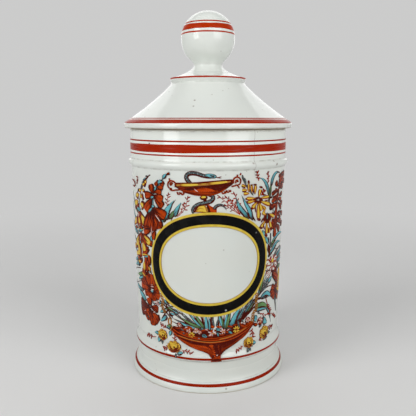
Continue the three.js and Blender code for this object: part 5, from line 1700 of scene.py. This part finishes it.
def add_softbox(context, name, where, target, wide, tall, power):
    """A soft rectangular lamp that faces a point."""
    lamp = bpy.data.lights.new(name, "AREA")
    lamp.shape = "RECTANGLE"
    lamp.size, lamp.size_y = wide, tall
    lamp.energy = power
    holder = bpy.data.objects.new(name, lamp)
    holder.location = where
    holder.rotation_euler = (Vector(target) - Vector(where)).to_track_quat("-Z", "Y").to_euler()
    holder.visible_camera = False
    context.scene.collection.objects.link(holder)


def studio_paper(studio):
    """Pale paper. Far from the jar it shows its own pale colour, whatever light falls there."""
    m = Mixer("studio_paper")
    shade = m.mix(m.noise(m.place, 3, 2), studio.floor, tinted(studio.floor, 0.985))
    paper = m.finish(shade, 0.9)
    rays = m.tree.nodes.new("ShaderNodeLightPath").outputs
    seen = m.maths("MAXIMUM", rays["Is Camera Ray"], rays["Is Glossy Ray"])
    seen = m.maths("MAXIMUM", seen, rays["Is Transmission Ray"])
    plain = m.tree.nodes.new("ShaderNodeEmission")
    plain.inputs["Color"].default_value = (*studio.backdrop, 1)
    blend = m.tree.nodes.new("ShaderNodeMixShader")
    m.put(blend.inputs[0], m.times(seen, m.fade(m.from_axis(), 0.22, 0.75)))
    m.put(blend.inputs[1], m.surface.outputs[0])
    m.put(blend.inputs[2], plain.outputs[0])
    m.put(m.tree.nodes["Material Output"].inputs["Surface"], blend.outputs[0])
    return paper


class ALBARELLO_OT_stage(bpy.types.Operator):
    """Sets the floor, the lamps and the camera"""

    bl_idname = "albarello.stage"
    bl_label = "Studio"

    def execute(self, context):
        scene, studio = context.scene, context.scene.studio_settings
        # A wide dish of paper: flat floor, round bend and upright wall.
        wall = FLOOR_FLAT + FLOOR_BEND
        dish = [(0, 0), (0.6, 0), (FLOOR_FLAT, 0)]
        dish += arc(FLOOR_FLAT, FLOOR_BEND, FLOOR_BEND, -90, 0, 24)[1:] + [(wall, 1.6), (wall, FLOOR_TOP)]
        bm = spun(dish, 96)
        bmesh.ops.reverse_faces(bm, faces=bm.faces)
        floor = bpy.data.objects.new("studio_floor", finished_mesh("studio_floor", bm, studio_paper(studio)))
        scene.collection.objects.link(floor)

        scene.world = bpy.data.worlds.new("even_surround")
        scene.world.use_nodes = True
        back = scene.world.node_tree.nodes["Background"]
        back.inputs["Color"].default_value = (1, 1, 1, 1)
        back.inputs["Strength"].default_value = studio.surround

        for name, turn, wide, power in (("left_softbox", -52, 0.5, studio.left_power),
                                        ("right_softbox", 42.6, 0.69, studio.right_power)):
            a = math.radians(turn)
            where = (math.sin(a) * LAMP_AWAY, -math.cos(a) * LAMP_AWAY, LAMP_HEIGHT)
            add_softbox(context, name, where, JAR_MIDDLE, wide, LAMP_TALL, power)
        add_softbox(context, "back_softbox", (0, 1.3, 0.8), JAR_MIDDLE, 1.6, 1.2, studio.back_power)
        add_softbox(context, "top_softbox", (0, -0.15, 1.5), (0, 0, 0), 1.2, 1.2, studio.top_power)

        camera = bpy.data.cameras.new("photo_camera")
        camera.lens = CAMERA_LENS
        camera.sensor_width = CAMERA_SENSOR
        camera.sensor_fit = "HORIZONTAL"
        camera.clip_start = 0.01
        viewer = bpy.data.objects.new("photo_camera", camera)
        viewer.location = CAMERA_PLACE
        viewer.rotation_euler = (math.radians(90 - CAMERA_TILT), 0, 0)
        scene.collection.objects.link(viewer)
        scene.camera = viewer
        scene.view_settings.view_transform = "Standard"
        return {"FINISHED"}


OPERATORS = (
    ALBARELLO_OT_stage,
    ALBARELLO_OT_jar,
    ALBARELLO_OT_lid,
    ALBARELLO_OT_bands,
    ALBARELLO_OT_oval,
    ALBARELLO_OT_serpent_cup,
    ALBARELLO_OT_sprigs,
    ALBARELLO_OT_left_spray,
    ALBARELLO_OT_left_flowers,
    ALBARELLO_OT_right_spray,
    ALBARELLO_OT_right_flowers,
    ALBARELLO_OT_flower_bowl,
)


class ALBARELLO_PT_panel(bpy.types.Panel):
    """Lists the pieces of the jar and their settings"""

    bl_idname = "ALBARELLO_PT_panel"
    bl_label = "Albarello"
    bl_space_type = "VIEW_3D"
    bl_region_type = "UI"
    bl_category = "Albarello"

    def draw(self, context):
        column = self.layout.column()
        for operator in OPERATORS:
            column.operator(operator.bl_idname)
        for group in GROUPS:
            settings = getattr(context.scene, group)
            for name in settings.__annotations__:
                column.prop(settings, name)


GROUPS = {
    "porcelain_sizes": PorcelainSizes,
    "paint_sizes": PaintSizes,
    "paint_colours": PaintColours,
    "studio_settings": StudioSettings,
}


def register():
    """Registers the settings, the operators and the panel."""
    for name, group in GROUPS.items():
        bpy.utils.register_class(group)
        setattr(bpy.types.Scene, name, bpy.props.PointerProperty(type=group))
    for operator in OPERATORS:
        bpy.utils.register_class(operator)
    bpy.utils.register_class(ALBARELLO_PT_panel)


def unregister():
    """Takes everything out again."""
    bpy.utils.unregister_class(ALBARELLO_PT_panel)
    for operator in reversed(OPERATORS):
        bpy.utils.unregister_class(operator)
    for name, group in GROUPS.items():
        delattr(bpy.types.Scene, name)
        bpy.utils.unregister_class(group)


def main():
    """Builds the scene piece by piece."""
    register()
    for operator in OPERATORS:
        family, name = operator.bl_idname.split(".")
        getattr(getattr(bpy.ops, family), name)()


if __name__ == "__main__":
    main()
